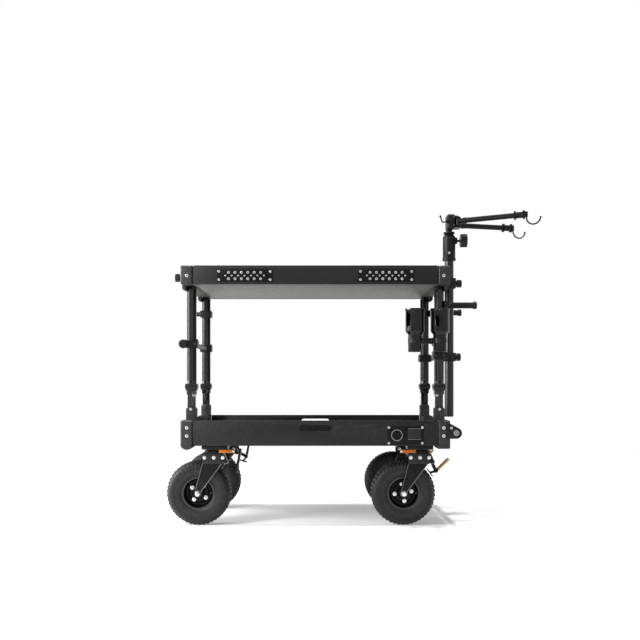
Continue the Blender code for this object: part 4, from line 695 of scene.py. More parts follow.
@dataclass(frozen=True)
class Fastener:
    """A screw head, nut or threaded insert, modelled once and copied."""

    name: str
    radius: float
    height: float
    drive: Drive
    finish: Finish

    def pattern(self) -> Piece:
        """Return a new head that stands on Z = 0 and points up."""
        sides = 6 if self.drive is Drive.HEXAGON else 24
        head = add_bar(self.name, (0, 0, -self.height * 0.2), (0, 0, self.height), self.radius, sides)
        top = self.height * 0.99
        if self.drive is Drive.HEXAGON:
            round_edges(head, self.radius * 0.07, 2, 20.0)
            rim = self.radius * 1.22
            washer = add_bar("washer", (0, 0, -self.height * 0.1), (0, 0, self.height * 0.14), rim)
            stud = add_bar("stud", (0, 0, 0), (0, 0, self.height * 1.25), self.radius * 0.48, 20)
            round_edges(stud, self.radius * 0.08, 2, 50.0)
            return joined(self.name, [paint(part, self.finish) for part in (head, washer, stud)])
        round_edges(head, self.radius * 0.18, 2, 50.0)
        share, corners, floor = (0.42, 6, 0.35) if self.drive is Drive.SOCKET else (0.45, 20, 0.05)
        ends = (0, 0, self.height * floor), (0, 0, self.height * 2)
        carve(head, add_bar("recess", *ends, self.radius * share, corners))

        def in_recess(face: bpy.types.MeshPolygon) -> bool:
            """Tell whether a face is the floor of the recess."""
            return face.normal.z > 0.9 and face.center.z < top * 0.9 and face.center.length < self.radius

        # The recess floor is painted near black: painted shade.
        return tint(paint(head, self.finish), in_recess, HOLE_SHADOW)

    def fit(self, name: str, places: Iterable[Place], axis: Axis, body: str) -> Piece:
        """Set heads at the places and let them ride on a body."""
        return hand_over(self.placed(name, places, axis), body, self.finish)

    def placed(self, name: str, places: Iterable[Place], axis: Axis) -> Piece:
        """Return one piece with a head at every place.

        Args:
            name: The piece's name.
            places: Where the heads stand.
            axis: Which way they point.

        Returns:
            The joined heads.
        """
        pattern = self.pattern()
        heads = []
        for index, place in enumerate(places):
            spin = Matrix.Rotation(index * HEAD_TURN, 4, "Z")
            matrix = Matrix.Translation(place) @ axis.turn() @ spin
            heads.append(copied(pattern, f"{name}_{index}", matrix))
        bpy.data.objects.remove(pattern, do_unlink=True)
        return joined(name, heads)


CASTING_BOLT = Fastener("casting_bolt", 0.0066, 0.0030, Drive.SOCKET, ZINC)
SMALL_SCREW = Fastener("small_screw", 0.0042, 0.0020, Drive.SOCKET, DARK_BOLT)
BRIGHT_SCREW = Fastener("bright_screw", 0.0050, 0.0028, Drive.SOCKET, ZINC)
CLAMP_BOLT = Fastener("clamp_bolt", 0.0046, 0.0050, Drive.SOCKET, DARK_BOLT)
CROWN_BOLT = Fastener("crown_bolt", 0.0058, 0.0040, Drive.HEXAGON, ZINC)
RIM_NUT = Fastener("rim_nut", 0.0066, 0.0060, Drive.HEXAGON, ZINC)
INSERT = Fastener("thread_insert", 0.0052, 0.0012, Drive.INSERT, ZINC)
SMALL_INSERT = Fastener("small_insert", 0.0034, 0.0010, Drive.INSERT, ZINC)


# Deck

@dataclass
class EndCastings:
    """The four end castings of the tray and the shelf, with their chamfered corners."""

    chamfer: float = 0.0085
    edge: float = 0.0009
    bolt_x: float = 0.5015
    bolt_sink: float = 0.0006
    tray_bolts: tuple[float, ...] = (0.3875, 0.3560)
    shelf_bolts: tuple[float, ...] = (0.9820,)
    rib_count: int = 5
    rib_pitch: float = 0.070
    rib_half: float = 0.002
    rib_heights: tuple[float, float] = (0.3270, 0.4080)
    rib_reach: tuple[float, float] = (0.0075, 0.020)

    def casting(self, node: str, side_x: int, body: str) -> None:
        """Refine one casting and chamfer its two upright edges beside the rails."""
        piece = refined(node, f"{node}_casting")
        low, high = node_box(node)
        half = self.chamfer / math.sqrt(2)
        x = side_x * DECK.corner_x
        for _, side_y in ROWS:
            cutter = add_block("corner_cutter", (-half, -half, low.z - 0.01), (half, half, high.z + 0.01))
            turn = Matrix.Rotation(math.pi / 4, 4, "Z")
            cutter.data.transform(Matrix.Translation((x, side_y * DECK.half_width, 0)) @ turn)
            carve(piece, cutter)
        clean(piece, dissolve=True)
        hand_over(round_edges(piece, self.edge), body, CASTING, [node])

    def bolts(self, name: str, heights: Sequence[float], body: str) -> None:
        """Set the bolts into the castings' front and rear faces."""
        for row, side_y in ROWS:
            places = [
                (side_x * self.bolt_x, side_y * (DECK.half_width - self.bolt_sink), z)
                for _, side_x in ENDS for z in heights
            ]
            CASTING_BOLT.fit(f"{name}_bolts_{row}", places, facing(side_y), body)

    def ribs(self, node: str, side_x: int) -> None:
        """Stand stiffening ribs on the inner face of a tray casting's beam."""
        near, far = sorted(side_x * (DECK.half_length - reach) for reach in self.rib_reach)
        bottom, top = self.rib_heights
        ribs = []
        for index, y in enumerate(spread(self.rib_count, self.rib_pitch)):
            corners = (near, y - self.rib_half, bottom), (far, y + self.rib_half, top)
            ribs.append(add_block(f"{node}_rib_{index}", *corners, 0.0012))
        hand_over(joined(f"{node}_ribs", ribs), "chassis", CASTING)

    def build(self) -> None:
        """Build all four castings."""
        for end, side_x in ENDS:
            self.casting(f"tray_end_{end}", side_x, "chassis")
            self.casting(f"top_end_{end}", side_x, "top_shelf")
            self.ribs(f"tray_end_{end}", side_x)
        self.bolts("tray", self.tray_bolts, "chassis")
        self.bolts("shelf", self.shelf_bolts, "top_shelf")


@dataclass
class LowerTray:
    """The tray's rails, floor, bare name plate and lifting bar."""

    edge: float = 0.0007
    badge_x: float = 0.3186
    badge_radius: float = 0.0225
    plate_z: float = 0.3586
    plate_screw_x: tuple[float, float] = (0.2868, 0.4172)
    plate_screw_rise: float = 0.0305
    block_x: tuple[float, float] = (0.3608, 0.4127)
    block_z: tuple[float, float] = (0.3464, 0.3812)
    line_z: tuple[float, float] = (0.3838, 0.3425)
    ear_radius: float = 0.022
    ear_bolt: tuple[float, float] = (0.5304, 0.3875)
    slot_drop: float = 0.030
    slot_straight: float = 0.0515
    slot_radius: float = 0.0135
    screw_count: int = 9
    screw_pitch: float = 0.11

    def rails(self) -> None:
        """Refine the two long rails."""
        for row, _ in ROWS:
            dress_rail(f"tray_rail_{row}", "chassis", self.edge)

    def floor(self) -> None:
        """Refine the floor panel and screw it to the ledges."""
        refine("tray_floor", "tray_floor_panel", "chassis", POWDER)
        high = node_box("tray_floor")[1]
        places = []
        for x in spread(self.screw_count, self.screw_pitch):
            places += [(x, side_y * (high.y - 0.008), high.z - 0.0004) for _, side_y in ROWS]
        SMALL_SCREW.fit("tray_floor_screws", places, Axis.UP, "chassis")

    def handhold_trims(self) -> None:
        """Line each hand slot with a rounded trim."""
        points = []
        for side_x in (1, -1):
            for index in range(17):
                angle = -side_x * math.pi / 2 + math.pi * index / 16
                points.append((
                    side_x * self.slot_straight + self.slot_radius * math.cos(angle),
                    self.slot_radius * math.sin(angle),
                ))
        points.append(points[0])
        for row, side_y in ROWS:
            z = node_box(f"tray_rail_{row}")[1].z - self.slot_drop
            for tag, depth in (("outer", 0.0), ("inner", 0.006)):
                y = side_y * (DECK.half_width - depth)
                places = [(x, y, z + rise) for x, rise in points]
                hand_over(add_wire(f"handhold_trim_{row}_{tag}", places, 0.0009, 2), "chassis", POWDER)

    def name_plate(self) -> None:
        """Dress the bare plate: a plain badge with its ring, a plain block and four screws."""
        face = node_box("tray_rail_front")[0].y
        fit_turned(
            "plain_badge", "chassis", BADGE,
            [(0, -0.001), (self.badge_radius, -0.001), (self.badge_radius, 0.0012),
             (self.badge_radius - 0.0012, 0.0020), (self.badge_radius - 0.0030, 0.0020),
             (self.badge_radius - 0.0040, 0.0012), (0, 0.0012)],
            64, (self.badge_x, face, self.plate_z), Axis.FRONT,
        )
        fit_turned(
            "badge_ring", "chassis", PALE_PLATE,
            [(0.0192, 0.0016), (0.0198, 0.0026), (0.0219, 0.0026), (0.0225, 0.0016)],
            56, (self.badge_x, face, self.plate_z), Axis.FRONT, closed=True,
        )
        low_x, high_x = self.block_x
        low_z, high_z = self.block_z
        block = [paint(add_block(
            "plain_block", (low_x, face - 0.0012, low_z), (high_x, face + 0.0005, high_z), 0.0005
        ), BLOCK)]
        for z in self.line_z:
            line = add_block("line", (low_x, face - 0.0014, z - 0.0008), (high_x, face, z + 0.0008), 0.0003)
            block.append(paint(line, PALE_PLATE))
        hand_over(joined("plain_label_block", block), "chassis", BLOCK)
        places = [
            (x, face + 0.0003, self.plate_z + side * self.plate_screw_rise)
            for x in self.plate_screw_x for side in (-1, 1)
        ]
        BRIGHT_SCREW.fit("name_plate_screws", places, Axis.FRONT, "chassis")

    def lift_bar(self) -> None:
        """Refine the lifting bar and set its end discs and bolts."""
        refine("lift_bar", "lift_bar_tube", "chassis", CLAMP, 0.0009)
        low, high = node_box("lift_bar")
        bolt_x, bolt_z = self.ear_bolt
        for row, side_y in ROWS:
            face = high.y if side_y > 0 else low.y
            fit_turned(
                f"lift_disc_{row}", "chassis", PALE_PLATE,
                [(0, -0.001), (0.0115, -0.001), (0.0115, 0.0006), (0.0106, 0.0014), (0, 0.0014)],
                40, (high.x - self.ear_radius, face, low.z + self.ear_radius), facing(side_y),
            )
            place = (bolt_x, face, bolt_z)
            BRIGHT_SCREW.fit(f"lift_ear_bolt_{row}", [place], facing(side_y), "chassis")

    def build(self) -> None:
        """Build the tray."""
        self.rails()
        self.floor()
        self.handhold_trims()
        self.name_plate()
        self.lift_bar()


@dataclass
class TopShelf:
    """The shelf's board, underside, rails, insert plates and mast bracket."""

    edge: float = 0.0007
    plate_x: float = 0.276
    plate_z: float = 0.982
    screw_spread: tuple[float, float] = (0.200, 0.032)
    screw_sink: float = 0.0002
    pitch: float = 0.025
    row_drop: float = 0.0125
    fold_inset: float = 0.0325
    shade_sheet_x: tuple[float, float] = (0.4690, 0.5185)
    shade_sheet_half: float = 0.199

    def panels(self) -> None:
        """Refine the board and the underside sheet, and add its folds and, at both ends, thin sheets whose
        dark grey is painted shade.
        """
        refine("top_board", "top_board_panel", "top_shelf", BOARD, 0.0012, 3)
        refine("top_underside", "underside_sheet", "top_shelf", SHEET, 0.0004)
        low = node_box("top_underside")[0]
        folds = []
        for _, side_y in ROWS:
            y = side_y * (DECK.half_width - self.fold_inset)
            folds.append(add_block(
                f"underside_fold_{side_y}", (low.x + 0.004, y - 0.0010, low.z - 0.0010),
                (-low.x - 0.004, y + 0.0010, low.z + 0.0005), 0.0004,
            ))
        hand_over(joined("underside_folds", folds), "top_shelf", SHEET)
        bottom = node_box("top_rail_front")[0].z
        # At each end a thin sheet covers the seam under the casting's foot; its dark grey is painted shade.
        for end, side_x in ENDS:
            near, far = sorted(side_x * x for x in self.shade_sheet_x)
            shade_sheet = add_block(
                f"underside_shade_sheet_{end}", (near, -self.shade_sheet_half, bottom - 0.0008),
                (far, self.shade_sheet_half, bottom + 0.0004), 0.0004,
            )
            hand_over(shade_sheet, "top_shelf", PAINTED_SHADE_SHEET)

    def rails(self) -> None:
        """Refine the shelf's two long rails."""
        for row, _ in ROWS:
            dress_rail(f"top_rail_{row}", "top_shelf", self.edge)

    def inserts(self) -> None:
        """Set the threaded inserts and screws of the four insert plates."""
        for row, side_y in ROWS:
            low, high = node_box(f"top_rail_{row}")
            face = low.y if side_y < 0 else high.y
            large, small, screws = [], [], []
            for _, side_x in ENDS:
                middle = side_x * self.plate_x
                for line, count in ((1, 6), (0, 7), (-1, 6)):
                    group = small if line == 0 else large
                    z = self.plate_z + line * self.row_drop
                    group.extend((middle + along, face, z) for along in spread(count, self.pitch))
                for across in (-0.5, 0.5):
                    for up in (-0.5, 0.5):
                        screws.append((
                            middle + across * self.screw_spread[0], face - side_y * self.screw_sink,
                            self.plate_z + up * self.screw_spread[1],
                        ))
            for fastener, name, places in (
                (INSERT, "thread_inserts", large), (SMALL_INSERT, "small_inserts", small),
                (BRIGHT_SCREW, "insert_plate_screws", screws),
            ):
                fastener.fit(f"{name}_{row}", places, facing(side_y), "top_shelf")

    def mast_bracket(self) -> None:
        """Refine the mast's upper bracket and bolt it to the shelf."""
        refine("mast_top_bracket", "mast_bracket_body", "top_shelf", CLAMP)
        low, high = node_box("mast_top_bracket")
        flange = add_block(
            "mast_bracket_flange", (DECK.half_length + 0.0003, low.y - 0.016, low.z + 0.002),
            (DECK.half_length + 0.0045, high.y + 0.016, high.z - 0.002), 0.0012,
        )
        hand_over(flange, "top_shelf", CLAMP)
        places = [
            (DECK.half_length + 0.0043, side * (high.y + 0.008), z)
            for side in (-1, 1) for z in (low.z + 0.010, high.z - 0.010)
        ]
        SMALL_SCREW.fit("mast_bracket_bolts", places, Axis.RIGHT, "top_shelf")

    def build(self) -> None:
        """Build the shelf."""
        self.panels()
        self.rails()
        self.inserts()
        self.mast_bracket()


@dataclass
class HandKnobs:
    """The lobed hand knobs, each with its cap and collar."""

    cap_share: float = 0.45

    def knob(self, node: str, body: str, axis: Axis) -> None:
        """Refine a knob and set a cap into its face.

        Args:
            node: The knob's fixed node.
            body: The body that it turns with.
            axis: Which way its face points.
        """
        refine(node, f"{node}_grip", body, PLASTIC, 0.0016, 3, 40.0)
        low, high = node_box(node)
        middle = (low + high) / 2
        radius = (high.z - low.z) / 2 * self.cap_share
        face = high.x if axis is Axis.RIGHT else low.x
        fit_turned(
            f"{node}_cap", body, DARK_BOLT,
            [(0, -0.002), (radius, -0.002), (radius, -0.0006), (radius - 0.0008, 0.0), (0, 0.0)],
            36, (face, middle.y, middle.z), axis,
        )

    def build(self) -> None:
        """Build the four knobs that turn by themselves."""
        for row, _ in ROWS:
            self.knob(f"shelf_knob_{row}", f"shelf_knob_{row}", Axis.LEFT)
        self.knob("mast_top_knob", "mast_top_knob", Axis.RIGHT)
        self.knob("mast_tee_knob", "tee_knob", Axis.RIGHT)


# Posts and what is clamped to them

@dataclass
class FoldingPosts:
    """The four folding posts with their pivots and locking screws."""

    pivot_face: float = 0.0195
    lock_rise: float = 0.0556
    tube_half: float = 0.0186
    tube_rise: float = 0.100
    tube_chamfer: float = 0.0108
    band_half: float = 0.0243

    def post(self, row: str, side_y: int, end: str, side_x: int) -> None:
        """Refine one post, sleeve it with a chamfered tube and set its screws."""
        node = f"post_{row}_{end}"
        body = f"{end}_legs"
        top = node_box(node)[1].z
        x, _, foot = joint_place(f"{end}_fold")
        y = side_y * POST_Y

        def square(name: str, half: float, low: float, high: float, *rounding: float) -> Piece:
            """Add a square block about the post's axis, between two heights."""
            return add_block(name, (x - half, y - half, low), (x + half, y + half, high), *rounding)

        half, shoulder = self.tube_half, foot + self.tube_rise
        post = round_edges(refined(node, f"{node}_extrusion"), 0.0008)
        corners = square("post_corners", 0.03, shoulder + 0.001, top - 0.004)
        carve(corners, square("post_hole", half, foot, top + 0.1, self.tube_chamfer, 1))
        hand_over(carve(post, corners), body, ANODISED, [node])
        tube = square(f"{node}_tube", half, shoulder, top - 0.0004, self.tube_chamfer, 1)
        hand_over(round_edges(tube, 0.0016, 3), body, ANODISED)
        for name, place, holder in (
            ("pivot_screw", (x, y + side_y * self.pivot_face, foot), "chassis"),
            ("lock_screw", (x - side_x * 0.009, y + side_y * 0.0100, foot + self.lock_rise), body),
        ):
            BRIGHT_SCREW.fit(f"{name}_{row}_{end}", [place], facing(side_y), holder)
        band = square(f"sleeve_band_{row}_{end}", self.band_half, foot + 0.084, foot + 0.096, 0.0022, 3)
        carve(band, square("band_hole", self.band_half - 0.0013, foot, foot + 0.2))
        hand_over(band, body, CLAMP)

    def build(self) -> None:
        """Build the four posts."""
        for end, side_x in ENDS:
            for row, side_y in ROWS:
                self.post(row, side_y, end, side_x)


@dataclass
class ClampedBars:
    """The cross bars, their collars and the push handles."""

    collar_half: float = 0.0255
    crossbar_x: float = 0.522
    crossbar_radius: float = 0.011
    grip_ribs: int = 15
    grip_radius: float = 0.0125
    grip_bore: float = 0.0089
    grip_cap: float = 0.0150
    screw_radius: float = 0.0165
    screw_ribs: int = 20

    def bar(self, node: str, body: str, side_x: int, radius: float, bar_x: float) -> None:
        """Refine a bar with its collars, and sleeve its facets with a finer tube.

        Args:
            node: The bar's fixed node.
            body: The body that it moves with.
            side_x: The end of the cart that it is at.
            radius: The bar's radius.
            bar_x: The bar's place along the deck.
        """
        refine(node, f"{node}_body", body, CLAMP)
        z = self.height(node)
        spread = POST_Y - self.collar_half
        tube = add_bar(f"{node}_tube", (bar_x, -spread, z), (bar_x, spread, z), radius + 0.0002, 48)
        hand_over(tube, body, CLAMP)
        places = []
        for _, side_y in ROWS:
            for across in COLLAR_BOLTS:
                places.append((side_x * POST_X + across, side_y * POST_Y, z + 0.0146))
        CLAMP_BOLT.fit(f"{node}_bolts", places, Axis.UP, body)
        for row, side_y in ROWS:
            self.collar_screws(f"{node}_screws_{row}", side_x, side_y, z, body)

    def height(self, node: str) -> float:
        """Return the height of a bar's middle."""
        low, high = node_box(node)
        return (low.z + high.z) / 2

    def collar_screws(self, name: str, side_x: int, side_y: int, z: float, body: str) -> None:
        """Set two small screws into a collar's outer face."""
        face = side_y * (POST_Y + 0.0258)
        places = [(side_x * POST_X + across, face, z) for across in (-0.0165, 0.0165)]
        SMALL_SCREW.fit(name, places, facing(side_y), body)

    def peg(self) -> None:
        """Refine the rear left post's collar and its short peg."""
        refine("hang_bar", "hang_bar_body", "left_legs", CLAMP)
        z = self.height("hang_bar")
        fit_turned(
            "hang_peg_cap", "left_legs", PLASTIC,
            [(0, -0.0040), (0.0128, -0.0040), (0.0128, 0.0010), (0.0112, 0.0024), (0, 0.0024)],
            36, (node_box("hang_bar")[0].x, POST_Y, z), Axis.LEFT,
        )
        self.collar_screws("hang_bar_screws_rear", -1, 1, z, "left_legs")

    def handle(self) -> None:
        """Refine the push handles' crossbar and bolt it to the posts."""
        node = "handle_crossbar"
        refine(node, f"{node}_body", "right_legs", CLAMP)
        z = self.height(node)
        low, high = node_box(node)
        tube = add_bar(
            f"{node}_tube", (self.crossbar_x, low.y - 0.0004, z), (self.crossbar_x, high.y + 0.0004, z),
            self.crossbar_radius + 0.0002, 48, 0.0012,
        )
        hand_over(tube, "right_legs", CLAMP)
        places = [
            (self.crossbar_x + self.crossbar_radius - 0.0004, side_y * POST_Y, z) for _, side_y in ROWS
        ]
        CLAMP_BOLT.fit(f"{node}_bolts", places, Axis.RIGHT, "right_legs")

    def grips(self) -> None:
        """Model the two ribbed rubber grips."""
        radius, bore, cap = self.grip_radius, self.grip_bore, self.grip_cap
        for row, _ in ROWS:
            node = f"grip_{row}"
            low, high = node_box(node)
            middle = (low + high) / 2
            length = high.x - low.x
            depth = length - 0.016
            pitch = (length - 0.026) / self.grip_ribs
            profile = [(bore, 0.0), (radius + 0.0018, 0.0), (radius + 0.0018, 0.0035),
                       (radius - 0.0006, 0.0045)]
            for index in range(self.grip_ribs):
                start = 0.006 + index * pitch
                profile += [
                    (radius - 0.0010, start), (radius + 0.0002, start + pitch * 0.22),
                    (radius + 0.0002, start + pitch * 0.70), (radius - 0.0010, start + pitch * 0.92),
                ]
            profile += [
                (radius - 0.0005, length - 0.018), (cap, length - 0.0100), (cap, length - 0.0035),
                (cap - 0.0012, length - 0.0008), (cap - 0.0040, length), (0, length), (0, depth),
                (bore, depth),
            ]
            fit_turned(
                f"{node}_rubber", "right_legs", GRIP, profile, 48, (low.x, middle.y, middle.z), Axis.RIGHT,
                [node], closed=True,
            )

    def accessory_clamp(self) -> None:
        """Add the round hand screw's ribs and face on the left clamp bar."""
        low, high = node_box("clamp_bar")
        middle = (low.z + high.z) / 2
        radius, count = self.screw_radius, self.screw_ribs
        centre = -POST_X - 0.029
        ribs = []
        for index in range(count):
            angle = 2 * math.pi * index / count
            x, z = centre + radius * math.cos(angle), middle + radius * math.sin(angle)
            ends = (x, low.y + 0.0020, z), (x, low.y + 0.0150, z)
            ribs.append(add_bar(f"hand_rib_{index}", *ends, 0.0016, 8))
        hand_over(joined("clamp_hand_ribs", ribs), "left_legs", PLASTIC)
        fit_turned(
            "clamp_hand_face", "left_legs", PLASTIC,
            [(0, 0.0), (radius - 0.002, 0.0), (radius - 0.002, 0.0006), (radius - 0.005, 0.0012),
             (0.006, 0.0012), (0.0055, 0.0004), (0, 0.0004)],
            40, (centre, low.y + 0.0010, middle), Axis.FRONT,
        )

    def build(self) -> None:
        """Build the bars, grips and clamps."""
        self.peg()
        self.bar("clamp_bar", "left_legs", -1, 0.010, -POST_X)
        self.handle()
        self.bar("mast_bar", "right_legs", 1, self.crossbar_radius, self.crossbar_x)
        self.grips()
        self.accessory_clamp()


@dataclass
class MugHolders:
    """The pair of stepped mug holders and their bracket."""

    upper_radius: float = 0.036
    lower_radius: float = 0.026
    wall: float = 0.003
    step_rise: float = 0.061
    step_height: float = 0.019
    slot_width: float = 0.022
    slot_depth: float = 0.059
    row_y: float = -0.345
    bracket_face: float = -0.3320
    bracket_bolts: tuple[float, float] = (0.4120, 0.4480)
    bracket_z: float = 0.725
    clamp_top: float = 0.7396

    def cup(self, tag: str, slot_turn: float) -> None:
        """Model one mug holder.

        Args:
            tag: Which of the two it is.
            slot_turn: How far its handle slot turns from the front, in degrees.
        """
        node = f"mug_holder_{tag}"
        low, high = node_box(node)
        middle = (low + high) / 2
        step = low.z + self.step_rise
        shoulder = step + self.step_height
        top = high.z
        upper, lower, wall = self.upper_radius, self.lower_radius, self.wall
        profile = [
            (0, low.z), (lower - 0.004, low.z), (lower - 0.001, low.z + 0.001), (lower, low.z + 0.004),
            (lower, step + 0.004), (lower + 0.0012, step + 0.008), (upper - 0.0030, shoulder - 0.0048),
            (upper - 0.0008, shoulder - 0.0024), (upper, shoulder + 0.0008), (upper, top - 0.0085),
            (upper + 0.0019, top - 0.0048), (upper + 0.0020, top - 0.0012), (upper + 0.0008, top),
            (upper - wall + 0.0022, top), (upper - wall + 0.0008, top - 0.0015), (upper - wall, top - 0.005),
            (upper - wall, shoulder + wall / 2), (lower - wall, step + wall / 2),
            (lower - wall, low.z + wall), (0, low.z + wall),
        ]
        place = (middle.x, self.row_y, 0)
        cup = add_turned(f"{node}_cup", profile, 64, place)
        half, foot = self.slot_width / 2, top - self.slot_depth
        slot = add_block("slot", (-half, -2 * upper, foot), (half, 0, top + 0.01))
        round_slot = add_bar("slot_end", (0, -2 * upper, foot), (0, 0, foot), half, 32)
        turn = Matrix.Translation(place) @ Matrix.Rotation(math.radians(-slot_turn), 4, "Z")
        for cutter in (slot, round_slot):
            cutter.data.transform(turn)
        carve(cup, slot, round_slot)
        hand_over(round_edges(cup, 0.0007, 2, 45.0), "right_legs", GLOSS, [node])

    def bracket(self) -> None:
        """Refine the bracket and set its bolts."""
        refine("mug_bracket", "mug_bracket_body", "right_legs", CLAMP)
        places = [(x, self.bracket_face - 0.0002, self.bracket_z) for x in self.bracket_bolts]
        CLAMP_BOLT.fit("mug_bracket_bolts", places, Axis.FRONT, "right_legs")
        tops = [(POST_X + across, -POST_Y, self.clamp_top) for across in COLLAR_BOLTS]
        CLAMP_BOLT.fit("mug_clamp_bolts", tops, Axis.UP, "right_legs")
        for tag in ("inner", "outer"):
            low, high = node_box(f"mug_holder_{tag}")
            middle = (low + high) / 2
            fit_turned(
                f"mug_band_{tag}", "right_legs", CLAMP,
                [(0.0261, 0.7155), (0.0268, 0.7160), (0.0268, 0.7340), (0.0261, 0.7345)],
                48, (middle.x, self.row_y, 0), closed=True,
            )

    def build(self) -> None:
        """Build both holders and the bracket."""
        self.cup("inner", 53.0)
        self.cup("outer", 17.0)
        self.bracket()


# Mast

@dataclass
class Mast:
    """The mast, its sockets and clamps, the head and the two hook arms."""

    x: float = 0.5685
    radius: float = 0.019
    arm_radius: float = 0.011
    flange_radius: float = 0.019
    flange_spacing: float = 0.036
    hook_radius: float = 0.0285
    hook_wire: float = 0.00325
    hook_centre: tuple[float, float] = (0.038, -0.013)
    hook_turn: tuple[float, float] = (168.0, 355.0)
    bore: float = 0.016
    head_face: float = -0.030
    clamp_screw: tuple[float, float, float] = (0.5760, 0.0268, 0.0165)
    cap_rise: float = 0.0228

    def tube(self) -> None:
        """Model the mast's tube, open at its foot."""
        low, high = node_box("mast_tube")
        outer, bore = self.radius, self.bore
        profile = [
            (0, high.z), (outer - 0.001, high.z), (outer, high.z - 0.001), (outer, low.z + 0.001),
            (outer - 0.001, low.z), (bore + 0.0006, low.z), (bore, low.z + 0.0006), (bore, high.z - 0.010),
            (0, high.z - 0.010),
        ]
        fit_turned("mast_tube_body", "mast", ANODISED, profile, 64, (self.x, 0, 0), nodes=["mast_tube"])

    def base_clamp(self) -> None:
        """Refine the outer half of the lower clamp and set its two screws."""
        refine("mast_base_clamp", "mast_base_clamp_body", "mast", CLAMP, angle=40.0)
        x, y, rise = self.clamp_screw
        z = node_box("mast_base_clamp")[0].z + rise
        for index, side in enumerate((-1, 1)):
            SMALL_SCREW.fit(f"base_clamp_screws_{index}", [(x, side * y, z)], facing(side), "mast")

    def socket(self) -> None:
        """Model the socket: a ribbed body with a flange, a shoulder and the tee knob's boss."""
        low, high = node_box("mast_socket")
        foot, top = low.z, high.z
        fit_turned(
            "mast_socket_body", "mast", CLAMP,
            [(0.0083, top), (0.0195, top), (0.0205, top - 0.0008), (0.0265, top - 0.0095),
             (0.0265, top - 0.024), (0.0255, top - 0.0246), (0.0255, top - 0.0270), (0.0265, top - 0.0276),
             (0.0265, foot + 0.0125), (0.0272, foot + 0.0105), (0.0285, foot + 0.0095),
             (0.0285, foot + 0.0010), (0.0278, foot), (0, foot), (0, top - 0.045), (0.0083, top - 0.045)],
            64, (self.x, 0, 0), nodes=["mast_socket"], closed=True,
        )
        fit_turned(
            "mast_socket_boss", "mast", CLAMP,
            [(0, 0.018), (0.0140, 0.018), (0.0140, 0.0320), (0.0132, 0.0330), (0.0118, 0.0330),
             (0.0110, 0.0343), (0.0090, 0.0352), (0, 0.0352)],
            40, (self.x, 0, joint_place("tee_knob_turn").z), Axis.RIGHT,
        )
        BRIGHT_SCREW.fit("socket_screw", [(self.x - 0.004, -0.0258, foot + 0.030)], Axis.FRONT, "mast")

    def head(self) -> None:
        """Refine the head and add its two clamping levers and screws."""
        refine("mast_head", "mast_head_body", "head", CLAMP, angle=40.0)
        face, base = self.head_face, joint_place("head_swivel").z
        bends = (
            (0.549, 0.0320), (0.541, 0.0298), (0.5355, 0.0298), (0.5330, 0.0340), (0.5302, 0.0420),
            (0.5262, 0.0540),
        )
        wing = [(0.556, face - 0.004, base + 0.0340)] + [(x, face - 0.005, base + rise) for x, rise in bends]
        lever = add_wire("head_wing_lever", wing, 0.0030)
        ball = add_turned(
            "wing_ball", [(0, -0.005), (0.0030, -0.0042), (0.0048, 0.0), (0.0030, 0.0042), (0, 0.005)], 24,
            wing[-1],
        )
        hub_ends = [(0.556, face + out, base + 0.0340) for out in (0.003, -0.0075)]
        hub = add_bar("wing_hub", *hub_ends, 0.0075, 28, 0.001)
        hand_over(joined("head_wing_lever", [lever, ball, hub]), "head", CLAMP)
        bends = ((0.574, 0.0595), (0.582, 0.0620), (0.592, 0.0628), (0.603, 0.0632))
        top = [(x, 0.0, base + rise) for x, rise in bends]
        hand_over(add_wire("head_top_lever", top, 0.0024), "head", CLAMP)
        corners = ((0.5625, 0.0180), (0.5835, 0.0520), (0.5835, 0.0180))
        places = [(x, face - 0.0002, base + rise) for x, rise in corners]
        CLAMP_BOLT.fit("head_bolts", places, Axis.FRONT, "head")
        caps = [joint_place(f"hook_arm_swing_{row}") + Vector((0, 0, self.cap_rise)) for row, _ in ROWS]
        CLAMP_BOLT.fit("hook_pivot_bolts", caps, Axis.UP, "head")

    def hook_path(self, length: float) -> list[tuple[float, float, float]]:
        """Return the hook's path from an arm's end, curling down and up again."""
        out, drop = self.hook_centre
        start, end = self.hook_turn
        path = [(length - 0.001, 0.0, 0.0135), (length + 0.004, 0.0, 0.0110)]
        for index in range(33):
            angle = math.radians(start + (end - start) * index / 32)
            path.append((
                length + out + self.hook_radius * math.cos(angle), 0.0,
                drop + self.hook_radius * math.sin(angle),
            ))
        return path

